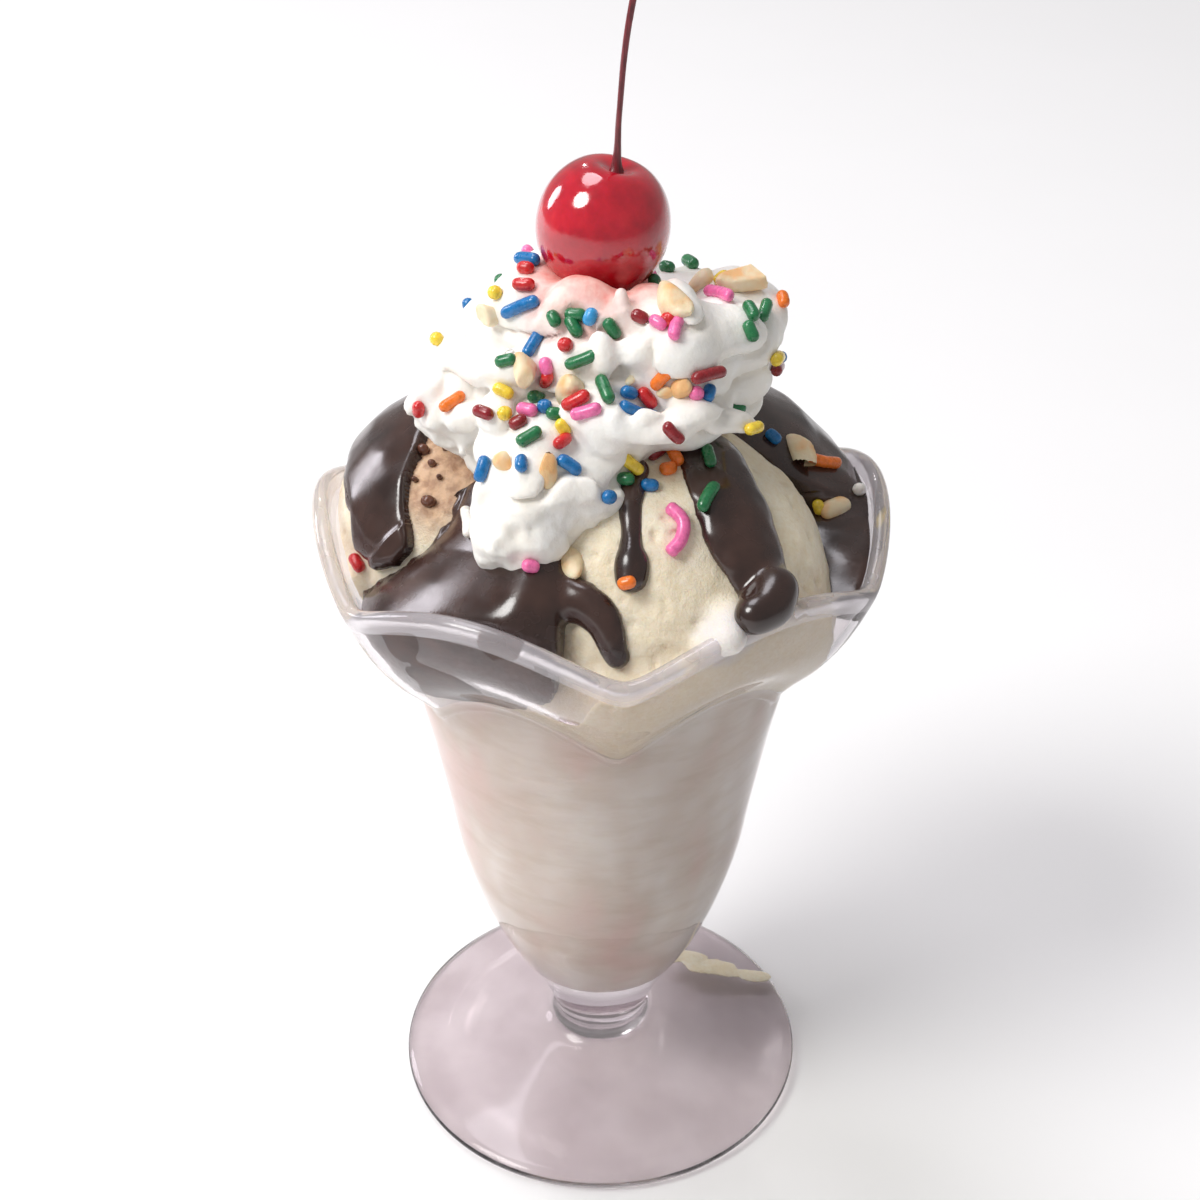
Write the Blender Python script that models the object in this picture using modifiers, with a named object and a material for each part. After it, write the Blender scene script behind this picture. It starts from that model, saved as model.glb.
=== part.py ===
"""Ice cream sundae in a six-petalled, footed tulip glass.

Shapes are worked out in millimetres and written in metres, with +Z up. The origin is the centre
of the foot's underside, and -Y is the front. An azimuth is measured from the front towards +X.
"""

import math

import bmesh
import bpy
from mathutils import Vector, noise

MM = 0.001
GAP = 0.3  # clear space between pieces that touch

# The glass.
FOOT_RADIUS = 41.0
FOOT_RIM_HEIGHT = 3.4
FOOT_RING_RADIUS = 33.0  # inside this the underside is hollowed
FOOT_HOLLOW = 2.6
STEM_RADIUS = 9.7
STEM_HEIGHT = 13.2  # where the stem is thinnest
RIM_RADIUS = 51.6
RIM_CORNER_HEIGHT = 130.0
RIM_HALF_THICKNESS = 1.6
LEDGE_HEIGHT = 101.2  # foot of the collar, under a corner
NECK_HEIGHT = 88.0  # the bowl is round up to here
PETALS = 6
CORNER_AZIMUTH = math.radians(4.5)
PETAL_RISE = 7.8  # a petal's middle above its corners, at the rim
ARCH_RISE = 10.0  # the same at the collar's foot
ARCH_SPREAD = 2.8  # how much further out the collar's foot is there
CORNER_REACH = 0.012  # how far a corner stands out, as a share of the radius
CORNER_SOFTNESS = 0.12
GLASS_STEPS = 42
FILL_STEPS = 18

# The ice cream, as ball centres and radii.
FILL_HEIGHT = 108.0  # under a corner
CONTENTS_TOP = 168.0  # above all that has to stay clear of the glass
SCOOP_FRONT = (Vector((9, -15, 124)), 31.0)
SCOOP_LEFT = (Vector((-21.5, 5, 122.5)), 28.0)
SCOOP_BACK = (Vector((18, 14, 118)), 29.0)
SCOOP_UNEVENNESS = 0.9
SCOOP_SEGMENTS, SCOOP_RINGS = 18, 10
LUMP_SIZE = 11

# The sauce.
BLANKET_THICKNESS = 2.2
BLANKET_ROOT = -2.0  # both are higher than the surface they lie on, or lower where negative
DRIP_ROOT = 1.6

# The cherry and its stem.
CHERRY_CENTRE = Vector((0.4, 0, 186.4))
CHERRY_RADIUS, CHERRY_HALF_HEIGHT = 11.1, 11.6
CHERRY_DIMPLE = 2.2
CHERRY_TILT = math.radians(13)
STEM_TIP = Vector((6.4, 0.6, 232.0))

SOURCES = {
    "glass": ((0.86, 0.84, 0.87), 0.05, 0.9),
    "vanilla": ((0.86, 0.78, 0.62), 0.55, 0.0),
    "fudge": ((0.045, 0.022, 0.017), 0.18, 0.0),
    "cream": ((0.93, 0.92, 0.88), 0.5, 0.0),
    "cherry": ((0.62, 0.01, 0.02), 0.12, 0.0),
    "cherry_stem": ((0.16, 0.015, 0.02), 0.4, 0.0),
}


def clear_scene():
    for thing in list(bpy.data.objects):
        bpy.data.objects.remove(thing, do_unlink=True)


def new_collection(name, is_helper=False):
    made = bpy.data.collections.new(name)
    bpy.context.scene.collection.children.link(made)
    made.hide_render = is_helper
    return made


def new_material(name, source):
    colour, roughness, transmission = SOURCES[source]
    made = bpy.data.materials.new(name)
    made.use_nodes = True
    shader = made.node_tree.nodes["Principled BSDF"]
    shader.inputs["Base Color"].default_value = (*colour, 1)
    shader.inputs["Roughness"].default_value = roughness
    shader.inputs["Transmission Weight"].default_value = transmission
    shader.inputs["Metallic"].default_value = 0.0
    return made


def add_part(name, mesh, source):
    mesh.name = name
    mesh.materials.clear()
    mesh.materials.append(new_material(name, source))
    mesh.shade_smooth()
    made = bpy.data.objects.new(name, mesh)
    parts.objects.link(made)
    return made


def add_cutter(name, mesh):
    mesh.shade_smooth()
    made = bpy.data.objects.new(name, mesh)
    cutters.objects.link(made)
    made.hide_render = True
    made.display_type = "WIRE"
    return made


def finished_mesh(name, bm):
    """The shape as a mesh in metres, with its faces pointing out."""
    bmesh.ops.recalc_face_normals(bm, faces=bm.faces)
    bmesh.ops.scale(bm, vec=(MM, MM, MM), verts=bm.verts)
    mesh = bpy.data.meshes.new(name)
    bm.to_mesh(mesh)
    bm.free()
    return mesh


def in_triangles(mesh):
    bm = bmesh.new()
    bm.from_mesh(mesh)
    bmesh.ops.triangulate(bm, faces=bm.faces)
    bm.to_mesh(mesh)
    bm.free()
    return mesh


def swollen(mesh):
    """A copy whose surface stands out all round, to cut clear space in a neighbour."""
    bm = bmesh.new()
    bm.from_mesh(in_triangles(mesh))
    bm.normal_update()
    pushed = [(v, v.co + v.normal * GAP * MM) for v in bm.verts]
    for v, place in pushed:
        v.co = place
    made = bpy.data.meshes.new(f"{mesh.name}_swollen")
    bm.to_mesh(made)
    bm.free()
    return made


def combine(target, operation, *others):
    """Boolean steps. Soft shapes graze each other here, which the exact solver doesn't cut."""
    for other in others:
        step = target.modifiers.new(f"{operation} {other.name}", "BOOLEAN")
        step.operation = operation
        step.solver = "MANIFOLD"
        step.object = other


def smooth_path(points, per_span):
    """Catmull-Rom points through a list of equal-length tuples."""
    last = len(points) - 1
    found = []
    for i in range(last):
        a, b, c, d = (points[min(max(i + k, 0), last)] for k in (-1, 0, 1, 2))
        for n in range(per_span):
            t = n / per_span
            found.append(
                tuple(
                    0.5 * (2 * q + (r - p) * t + (2 * p - 5 * q + 4 * r - s) * t**2
                           + (3 * q - p - 3 * r + s) * t**3)
                    for p, q, r, s in zip(a, b, c, d)
                )
            )
    return found + [tuple(points[-1])]


def smoothstep(low, high, value):
    t = min(max((value - low) / (high - low), 0), 1)
    return t * t * (3 - 2 * t)


def petal(azimuth):
    """0 at a corner and 1 at a petal's middle."""
    wave = math.sin(PETALS / 2 * (azimuth - CORNER_AZIMUTH))
    low, high = CORNER_SOFTNESS, math.hypot(1, CORNER_SOFTNESS)
    return (math.hypot(wave, CORNER_SOFTNESS) - low) / (high - low)


def scallop(place):
    """Moves a point of the round glass to where the petals put it."""
    radius, height = math.hypot(place.x, place.y), place.z
    if height <= NECK_HEIGHT:
        return place
    azimuth = math.atan2(place.x, -place.y)
    middle = petal(azimuth)
    along = smoothstep(LEDGE_HEIGHT, RIM_CORNER_HEIGHT, height)
    begun = smoothstep(NECK_HEIGHT, LEDGE_HEIGHT, height)
    rise = begun * (ARCH_RISE + (PETAL_RISE - ARCH_RISE) * along)
    spread = begun * ARCH_SPREAD * (1 - along)
    reach = 1 + begun * CORNER_REACH * (1 - 2 * middle)
    radius = radius * reach + spread * middle
    return Vector((radius * math.sin(azimuth), -radius * math.cos(azimuth), height + rise * middle))


def turned(name, outline, steps):
    """A solid of revolution. The outline runs from the axis round the outside, top to bottom."""
    bm = bmesh.new()
    points = [bm.verts.new((radius * MM, 0, height * MM)) for radius, height in outline]
    for first, second in zip(points, points[1:]):
        bm.edges.new((first, second))
    mesh = bpy.data.meshes.new(name)
    bm.to_mesh(mesh)
    bm.free()
    guide = bpy.data.objects.new(name, mesh)
    bpy.context.scene.collection.objects.link(guide)
    screw = guide.modifiers.new("Turn", "SCREW")
    screw.steps = screw.render_steps = steps
    screw.use_merge_vertices = True
    screw.merge_threshold = 0.00001
    graph = bpy.context.evaluated_depsgraph_get()
    made = bpy.data.meshes.new_from_object(guide.evaluated_get(graph))
    bpy.data.objects.remove(guide)
    bpy.data.meshes.remove(mesh)
    return made


def scalloped(mesh):
    for v in mesh.vertices:
        v.co = scallop(v.co / MM) * MM
    return mesh


def glass_inner():
    """The bowl's inner surface from the axis up to the rim."""
    return [(0, 27.4), (7, 28), (13, 31.6), (18.2, 38.5), (22.4, 48.5), (25.4, 60), (27.4, 73),
            (31.6, 96.5), (34.2, 103.6), (38.8, 110), (42.8, 115.6), (46, 121.8), (48.3, 128)]


def glass_outer():
    """The outer surface from the rim down to the foot's hollow."""
    collar = [(51.2, 127.2), (48.8, 121.4), (45.9, 115.8), (42, 110.2), (37.8, 105.6)]
    ledge = [(35.6, 102.8), (35.0, LEDGE_HEIGHT), (34.1, 100.2)]
    bowl = [(33.6, 95), (29.5, 72), (27.6, 60), (24.4, 48), (20.7, 38), (16.6, 30), (13.4, 24.6),
            (11.2, 19.4)]
    stem = [(STEM_RADIUS + 0.3, 16), (STEM_RADIUS, STEM_HEIGHT), (STEM_RADIUS + 1.3, 10.8)]
    foot = [(15, 8.9), (26, 6.5), (38.6, FOOT_RIM_HEIGHT + 0.3), (FOOT_RADIUS, 1.9),
            (FOOT_RADIUS - 1.8, 0), (FOOT_RING_RADIUS, 0), (FOOT_RING_RADIUS - 7, 1.2),
            (0, FOOT_HOLLOW)]
    return collar + ledge + bowl + stem + foot


def make_glass():
    half = RIM_HALF_THICKNESS
    bead = [(RIM_RADIUS - half - half * math.cos(a), RIM_CORNER_HEIGHT - half + half * math.sin(a))
            for a in (math.radians(d) for d in (20, 90, 160))]
    outline = glass_inner() + bead + glass_outer()
    return add_part("glass", scalloped(turned("glass", outline, GLASS_STEPS)), "glass")


def clear_of_wall(most_height):
    """The bowl's inner surface up to a height, moved in by the gap."""
    return [(max(radius - GAP, 0), height + (GAP / 2 if radius else GAP))
            for radius, height in glass_inner() if height <= most_height]


def make_interior():
    """The space that contents may take: the bowl, and a straight way up from the rim."""
    top, edge = RIM_CORNER_HEIGHT, RIM_RADIUS - RIM_HALF_THICKNESS
    clear = [(edge - 2, top), (edge - 1.8, top + 1.5), (edge, top + 4), (edge, CONTENTS_TOP),
             (0, CONTENTS_TOP)]
    outline = (clear_of_wall(top) + clear)[::-1]
    return add_cutter("interior", scalloped(turned("interior", outline, GLASS_STEPS)))


def make_fill():
    wall = clear_of_wall(FILL_HEIGHT - 4)
    radius = wall[-1][0]
    outline = [(0, FILL_HEIGHT + 3), (radius * 0.5, FILL_HEIGHT + 2), (radius * 0.9, FILL_HEIGHT)]
    outline += wall[::-1]
    return scalloped(turned("ice_cream_fill", outline, FILL_STEPS))


def uneven(place, size, scale, seed):
    """How far the surface at a place stands out, as soft lumps of a given size."""
    return scale * noise.noise(place / size + Vector((seed, 0, 0)))


def make_ball(name, ball, seed):
    centre, radius = ball
    bm = bmesh.new()
    bmesh.ops.create_uvsphere(bm, u_segments=SCOOP_SEGMENTS, v_segments=SCOOP_RINGS, radius=1)
    for v in bm.verts:
        out = v.co.normalized()
        v.co = centre + out * (radius + uneven(out * radius, LUMP_SIZE, SCOOP_UNEVENNESS, seed))
    return finished_mesh(name, bm)


def on_ball(ball, azimuth, elevation, lift=0.0):
    """A point above a ball's surface, by angles in degrees."""
    centre, radius = ball
    a, e = math.radians(azimuth), math.radians(elevation)
    out = Vector((math.sin(a) * math.cos(e), -math.cos(a) * math.cos(e), math.sin(e)))
    return centre + out * (radius + lift)


def skin(bm, rings):
    """Faces between rings of equal length. The first and last ring close on a point."""
    for low, high in zip(rings, rings[1:]):
        count = max(len(low), len(high))
        for i in range(count):
            corners = [low[i % len(low)], low[(i + 1) % len(low)],
                       high[(i + 1) % len(high)], high[i % len(high)]]
            bm.faces.new(dict.fromkeys(corners))


def make_blanket(name, ball, lower_edge, steps=24, rows=5):
    """Sauce that lies over the top of a ball down to an edge, given as elevation by azimuth."""
    edge = smooth_path(lower_edge, 12)
    span = [a for a, _ in edge]
    bm = bmesh.new()

    def edge_at(azimuth):
        i = max(k for k, a in enumerate(span) if a <= azimuth)
        j = min(i + 1, len(edge) - 1)
        part = (azimuth - span[i]) / ((span[j] - span[i]) or 1)
        return edge[i][1] + (edge[j][1] - edge[i][1]) * part

    def ring(share, lift):
        found = []
        for n in range(steps):
            azimuth = -180 + 360 * n / steps
            elevation = 90 - share * (90 - edge_at(azimuth))
            found.append(bm.verts.new(on_ball(ball, azimuth, elevation, lift)))
        return found

    thickness, root = BLANKET_THICKNESS, BLANKET_ROOT
    top = [bm.verts.new(on_ball(ball, 0, 90, thickness))]
    bottom = [bm.verts.new(on_ball(ball, 0, 90, root))]
    outer = [ring(k / rows, thickness * (1 - (k / rows) ** 6 * 0.6)) for k in range(1, rows)]
    rounding = [ring(1.0, thickness * 0.1), ring(0.99, root)]
    inner = [ring(k / 3, root) for k in (2, 1)]
    skin(bm, [top, *outer, *rounding, *inner, bottom])
    return finished_mesh(name, bm)


def make_drip(name, ball, stations, sides=8, per_span=3):
    """A run of sauce down a ball. A station is azimuth, elevation, half width and height."""
    path = smooth_path(stations, per_span)
    places = [on_ball(ball, a, e) for a, e, _, _ in path]
    bm = bmesh.new()
    rings = []
    for i, (_, _, width, height) in enumerate(path):
        along = (places[min(i + 1, len(path) - 1)] - places[max(i - 1, 0)]).normalized()
        out = (places[i] - ball[0]).normalized()
        across = along.cross(out).normalized()
        angles = [2 * math.pi * n / sides for n in range(sides)]
        rings.append([bm.verts.new(places[i] + across * width * math.cos(t)
                                   + out * (height * math.sin(t) if math.sin(t) > 0
                                            else DRIP_ROOT * math.sin(t)))
                      for t in angles])
    first = [bm.verts.new(places[0] + (places[0] - places[1]) * 0.4)]
    last = [bm.verts.new(places[-1] + (places[-1] - places[-2]).normalized() * path[-1][2] * 0.5)]
    skin(bm, [first, *rings, last])
    return finished_mesh(name, bm)


def make_cage(name, corners, levels=2):
    """A soft lump: the hull of a few corners, subdivided."""
    bm = bmesh.new()
    for corner in corners:
        bm.verts.new(corner)
    bmesh.ops.convex_hull(bm, input=bm.verts)
    loose = [v for v in bm.verts if not v.link_faces]
    bmesh.ops.delete(bm, geom=loose, context="VERTS")
    guide = bpy.data.objects.new(name, finished_mesh(name, bm))
    bpy.context.scene.collection.objects.link(guide)
    soft = guide.modifiers.new("Soften", "SUBSURF")
    soft.levels = soft.render_levels = levels
    graph = bpy.context.evaluated_depsgraph_get()
    made = bpy.data.meshes.new_from_object(guide.evaluated_get(graph))
    bpy.data.objects.remove(guide)
    return made


def make_lobes(name, lobes, voxel, share):
    """Soft balls grown together into one lump, as (centre, radius)."""
    bm = bmesh.new()
    for centre, radius in lobes:
        made = bmesh.ops.create_icosphere(bm, subdivisions=3, radius=radius)
        bmesh.ops.translate(bm, verts=made["verts"], vec=centre)
    guide = bpy.data.objects.new(name, finished_mesh(name, bm))
    bpy.context.scene.collection.objects.link(guide)
    grown = guide.modifiers.new("Grow together", "REMESH")
    grown.mode = "VOXEL"
    grown.voxel_size = voxel * MM
    soft = guide.modifiers.new("Soften", "SMOOTH")
    soft.factor = 0.5
    soft.iterations = 4
    fewer = guide.modifiers.new("Fewer faces", "DECIMATE")
    fewer.ratio = share
    graph = bpy.context.evaluated_depsgraph_get()
    made = bpy.data.meshes.new_from_object(guide.evaluated_get(graph))
    bpy.data.objects.remove(guide)
    return made


def ring_of_lobes(centre, across, count, radius, rise_right, rise_back, turn=0.0):
    """Lobes round a centre, on a ring that rises by these heights towards +X and +Y."""
    found = []
    for n in range(count):
        a = 2 * math.pi * (n + turn) / count
        height = rise_right * math.sin(a) - rise_back * math.cos(a)
        offset = Vector((across * math.sin(a), -across * math.cos(a), height))
        found.append((centre + offset, radius * (1 + 0.08 * math.sin(3 * a + 1))))
    return found


def cream_lobes():
    """Two piped rings under the cherry, and the tongue that hangs over the front."""
    low = ring_of_lobes(Vector((1, -3, 156)), 19.8, 9, 10.8, -0.6, 0)
    low[:3] = [(Vector((1, -20.5, 160.5)), 9.4), (Vector((13, -16, 162.2)), 8.4),
               (Vector((20, -5, 160.5)), 9.0)]  # the front ball's top shows under these
    high = ring_of_lobes(Vector((6, 1, 167.6)), 15.8, 8, 9.8, -2, -3.6, 0.3)
    heart = [(Vector((2, -1, 160)), 15.0)]
    side = [(Vector((-21, -3, 159.5)), 9.5), (Vector((-25, -8, 158)), 7.6)]
    tongue = smooth_path([(-6, -20, 155, 10), (-10, -27, 151, 10), (-14, -31, 146, 8),
                          (-16.5, -32, 141.5, 4.5)], 3)
    return low + high + heart + side + [(Vector(place[:3]), place[3]) for place in tongue]


def make_cherry():
    """A slightly tall ball with a dimple where the stem goes in."""
    steps = 11
    outline = []
    for n in range(steps + 1):
        t = math.pi * n / steps
        radius = CHERRY_RADIUS * math.sin(t) ** 0.94 if 0 < n < steps else 0
        height = CHERRY_HALF_HEIGHT * math.cos(t)
        height -= CHERRY_DIMPLE * math.exp(-((radius / 3.2) ** 2)) if n < steps / 2 else 0
        outline.append((radius, height))
    mesh = turned("cherry", outline, 18)
    for v in mesh.vertices:
        x, y, z = v.co / MM
        turn = math.cos(CHERRY_TILT), math.sin(CHERRY_TILT)
        v.co = (CHERRY_CENTRE + Vector((x * turn[0] + z * turn[1], y, z * turn[0] - x * turn[1]))) * MM
    return mesh


def make_stem():
    """The cherry's stem: thick where it joins, thin in the middle, with a woody tip."""
    out = Vector((math.sin(CHERRY_TILT), 0, math.cos(CHERRY_TILT)))
    foot = CHERRY_CENTRE + out * (CHERRY_HALF_HEIGHT - CHERRY_DIMPLE + 2 * GAP)
    points = [(*foot, 1.15), (*(foot + Vector((0.15, 0, 2.2))), 0.68),
              (*(foot + Vector((0.5, 0, 10))), 0.5), (*(foot + Vector((1.6, 0.2, 22))), 0.5),
              (*(STEM_TIP - Vector((0.5, 0, 4))), 0.62), (*STEM_TIP, 1.0)]
    path = smooth_path(points, 3)
    curve = bpy.data.curves.new("cherry_stem", "CURVE")
    curve.dimensions = "3D"
    curve.bevel_depth = MM
    curve.bevel_resolution = 1
    curve.use_fill_caps = True
    spline = curve.splines.new("POLY")
    spline.points.add(len(path) - 1)
    for point, (x, y, z, radius) in zip(spline.points, path):
        point.co = (x * MM, y * MM, z * MM, 1)
        point.radius = radius
    curve.materials.append(new_material("cherry_stem", "cherry_stem"))
    made = bpy.data.objects.new("cherry_stem", curve)
    parts.objects.link(made)
    return made


def make_fudge_left():
    """Over the left ball, down the cleft, against the glass, and a curl on the front ball."""
    blanket = make_blanket(
        "fudge_left", SCOOP_LEFT,
        [(-180, 30), (-140, 26), (-100, 22), (-78, 24), (-66, 4), (-56, -14), (-40, -20), (-30, -12),
         (-24, 40), (-14, 62), (10, 66), (60, 62), (120, 50), (180, 30)])
    cleft = make_cage(
        "fudge_cleft",
        [(-21, -12, 153), (-6, -16, 156), (-22, -19, 148), (-29, -25, 138), (-7, -28, 152),
         (-14, -42, 142), (-28, -42, 141), (-42, -31, 137), (-50, -20, 126), (-4, -50, 134),
         (-10, -52, 116), (-34, -42, 108), (-46, -22, 112), (-14, -20, 112), (-20, -10, 120),
         (-6, -44, 112), (-36, -12, 112), (-48, -18, 118), (-44, -10, 120), (-38, -12, 128)])
    curl = make_drip(
        "fudge_curl", SCOOP_FRONT,
        [(-52, 24, 5.5, 3.5), (-38, 27, 4.6, 3.2), (-26, 27.5, 3.8, 2.8), (-18, 24, 3.4, 2.4),
         (-14, 17, 2.6, 2.0), (-11.5, 11, 1.8, 1.5)])
    return blanket, [cleft, curl]


def make_fudge_back():
    return make_blanket(
        "fudge_back", SCOOP_BACK,
        [(-180, 20), (-140, 50), (-60, 66), (0, 64), (40, 40), (60, 4), (90, -6), (120, 0),
         (150, 12), (180, 20)])


def make_short_drip():
    return make_drip(
        "fudge_short_drip", SCOOP_FRONT,
        [(-22, 72, 2.0, 1.2), (-17, 63, 1.6, 1.3), (-13, 54, 1.5, 1.4), (-11, 45, 1.7, 1.7),
         (-10, 40, 2.5, 2.3), (-9.6, 37, 1.9, 1.8)])


def make_wide_drip():
    return make_drip(
        "fudge_wide_drip", SCOOP_FRONT,
        [(92, 79, 4.2, 1.2), (66, 70, 4.8, 1.3), (52, 60, 5.1, 1.4), (45, 50, 5.2, 1.5),
         (41, 40, 5.1, 1.7), (39.5, 31, 4.6, 2.3), (38, 24, 4.4, 2.8), (37, 20, 3.3, 2.2)])


def build_sundae():
    make_glass()
    interior = make_interior()

    balls = {name: make_ball(name, ball, seed) for name, ball, seed in (
        ("scoop_front", SCOOP_FRONT, 1), ("scoop_left", SCOOP_LEFT, 2), ("scoop_back", SCOOP_BACK, 3))}
    room = {name: add_cutter(f"{name}_room", swollen(mesh)) for name, mesh in balls.items()}
    earlier = []
    for name, mesh in balls.items():
        ball = add_part(name, mesh, "vanilla")
        combine(ball, "INTERSECT", interior)
        combine(ball, "DIFFERENCE", *earlier)
        earlier.append(room[name])

    fill_mesh = make_fill()
    fill_room = add_cutter("fill_room", swollen(fill_mesh))
    fill = add_part("ice_cream_fill", fill_mesh, "vanilla")
    combine(fill, "DIFFERENCE", *earlier)

    blanket, grown = make_fudge_left()
    shapes = {"fudge_back": make_fudge_back(), "fudge_short_drip": make_short_drip(),
              "fudge_wide_drip": make_wide_drip()}
    left_rooms = [add_cutter(f"{mesh.name}_room", swollen(mesh)) for mesh in (blanket, *grown)]
    sauce_rooms = left_rooms + [add_cutter(f"{name}_room", swollen(mesh))
                                for name, mesh in shapes.items()]
    left = add_part("fudge_left", blanket, "fudge")
    combine(left, "UNION", *(add_cutter(mesh.name, mesh) for mesh in grown))
    combine(left, "INTERSECT", interior)
    combine(left, "DIFFERENCE", *earlier, fill_room)
    for name, mesh in shapes.items():
        sauce = add_part(name, mesh, "fudge")
        combine(sauce, "INTERSECT", interior)
        combine(sauce, "DIFFERENCE", *earlier, fill_room)
        if name == "fudge_back":
            combine(sauce, "DIFFERENCE", *left_rooms)

    cherry_mesh = make_cherry()
    cherry_room = add_cutter("cherry_room", swollen(cherry_mesh))
    cream = add_part("whipped_cream", make_lobes("whipped_cream", cream_lobes(), 2.4, 0.1), "cream")
    combine(cream, "DIFFERENCE", *earlier, *sauce_rooms, cherry_room)
    add_part("cherry", cherry_mesh, "cherry")
    make_stem()


clear_scene()
parts = new_collection("ice_cream_sundae")
cutters = new_collection("cutters", is_helper=True)
build_sundae()
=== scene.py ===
"""Ice cream sundae in a scalloped, footed glass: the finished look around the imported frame.

Shapes are worked out in millimetres in the frame's own axes (+Z up, -Y the front) and written in
metres. Soft food is a signed field sampled on a grid and meshed, so that sauce, cream and ice cream
flow into each other. An azimuth runs from the front towards +X.
"""

import math

import bpy
import numpy as np
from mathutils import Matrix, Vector
from mathutils.bvhtree import BVHTree


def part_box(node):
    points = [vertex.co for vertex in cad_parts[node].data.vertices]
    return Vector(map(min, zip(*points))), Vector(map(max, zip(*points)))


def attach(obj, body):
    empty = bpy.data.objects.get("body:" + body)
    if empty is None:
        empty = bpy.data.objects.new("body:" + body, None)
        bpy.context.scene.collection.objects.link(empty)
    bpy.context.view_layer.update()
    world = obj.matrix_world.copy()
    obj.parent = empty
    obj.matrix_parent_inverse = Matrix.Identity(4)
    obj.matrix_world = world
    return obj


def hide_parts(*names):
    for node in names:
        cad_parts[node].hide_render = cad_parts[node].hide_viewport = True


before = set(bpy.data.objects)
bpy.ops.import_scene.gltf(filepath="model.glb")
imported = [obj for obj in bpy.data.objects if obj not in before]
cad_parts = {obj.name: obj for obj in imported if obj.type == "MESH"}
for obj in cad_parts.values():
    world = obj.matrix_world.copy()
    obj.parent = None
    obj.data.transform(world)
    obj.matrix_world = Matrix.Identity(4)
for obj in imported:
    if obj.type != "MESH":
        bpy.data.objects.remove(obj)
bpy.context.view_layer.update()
MM = 0.001


def node_box(name):
    low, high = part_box(name)
    return np.array(low) / MM, np.array(high) / MM


# ---------------- measures

FOOT_RADIUS = 41.0
RIM_RADIUS = 51.6
RIM_HEIGHT = 130.0  # over a corner between two petals
RIM_HALF_THICKNESS = 1.6
LEDGE_HEIGHT = 101.2
NECK_HEIGHT = 88.0
PETALS = 6
CORNER_AZIMUTH = math.radians(4.5)
PETAL_RISE, ARCH_RISE, ARCH_SPREAD = 7.8, 10.0, 2.8
CORNER_REACH, CORNER_SOFTNESS = 0.012, 0.12
RIM_BAND = 4.2  # how far down from its edge the rim is painted as a pale band: painted light
CONTACT = 0.35  # how far what fills the glass reaches into its wall

SCOOP_FRONT = (np.array((9.0, -15.0, 124.0)), 31.0)
SCOOP_LEFT = (np.array((-21.5, 5.0, 122.5)), 28.0)
SCOOP_BACK = (np.array((18.0, 14.0, 118.0)), 29.0)
SCOOP_DEPTH = 25  # how far below the rim the scoops reach
SCOOP_INSET = 6.0  # how far inside the wall they stay above the rim
SKIRT_BLEND, SPILL_BLEND, OVERFLOW_BLEND = 5, 2.5, 2.6
SAUCE_VOXEL = 0.55

CHERRY_CENTRE = np.array((0.4, 0.0, 186.4))
CHERRY_RADIUS, CHERRY_HALF_HEIGHT, CHERRY_DIMPLE = 11.1, 11.6, 2.2
CHERRY_TILT = math.radians(13)
STEM_TIP = np.array((6.4, 0.6, 232.0))

CAMERA_PLACE = np.array((-0.135, -310.35, 314.5))
CAMERA_PITCH = math.radians(33.0)
CAMERA_LENS = 60.3


# ---------------- arithmetic on arrays

LATTICE = np.random.default_rng(11).uniform(-1, 1, (32, 32, 32)).astype(np.float32)


def noise(p, size, seed=0.0):
    """Smooth noise from -1 to 1 with lumps of about this size, at points (..., 3)."""
    q = p / size + seed * 7.31
    cell = np.floor(q).astype(np.int32)
    t = q - cell
    t = t * t * (3 - 2 * t)
    total = 0
    for dx in (0, 1):
        wx = t[..., 0] if dx else 1 - t[..., 0]
        for dy in (0, 1):
            wy = t[..., 1] if dy else 1 - t[..., 1]
            for dz in (0, 1):
                wz = t[..., 2] if dz else 1 - t[..., 2]
                total = total + wx * wy * wz * LATTICE[
                    (cell[..., 0] + dx) % 32, (cell[..., 1] + dy) % 32, (cell[..., 2] + dz) % 32]
    return total


def norm(vectors):
    return np.linalg.norm(vectors, axis=-1)


def azimuth_of(p):
    return np.arctan2(p[..., 0], -p[..., 1])


def smoothstep(low, high, value):
    t = np.clip((value - low) / (high - low), 0, 1)
    return t * t * (3 - 2 * t)


def smooth_min(a, b, k):
    h = np.clip(0.5 + 0.5 * (b - a) / k, 0, 1)
    return b * (1 - h) + a * h - k * h * (1 - h)


def smooth_path(points, per_span):
    """Catmull-Rom points through a list of equal-length tuples."""
    points = [np.array(p, float) for p in points]
    last = len(points) - 1
    found = []
    for i in range(last):
        p, q, r, s = (points[min(max(i + k, 0), last)] for k in (-1, 0, 1, 2))
        for n in range(per_span):
            t = n / per_span
            found.append(0.5 * (2 * q + (r - p) * t + (2 * p - 5 * q + 4 * r - s) * t**2
                                + (3 * q - p - 3 * r + s) * t**3))
    return np.array(found + [points[-1]])


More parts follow.
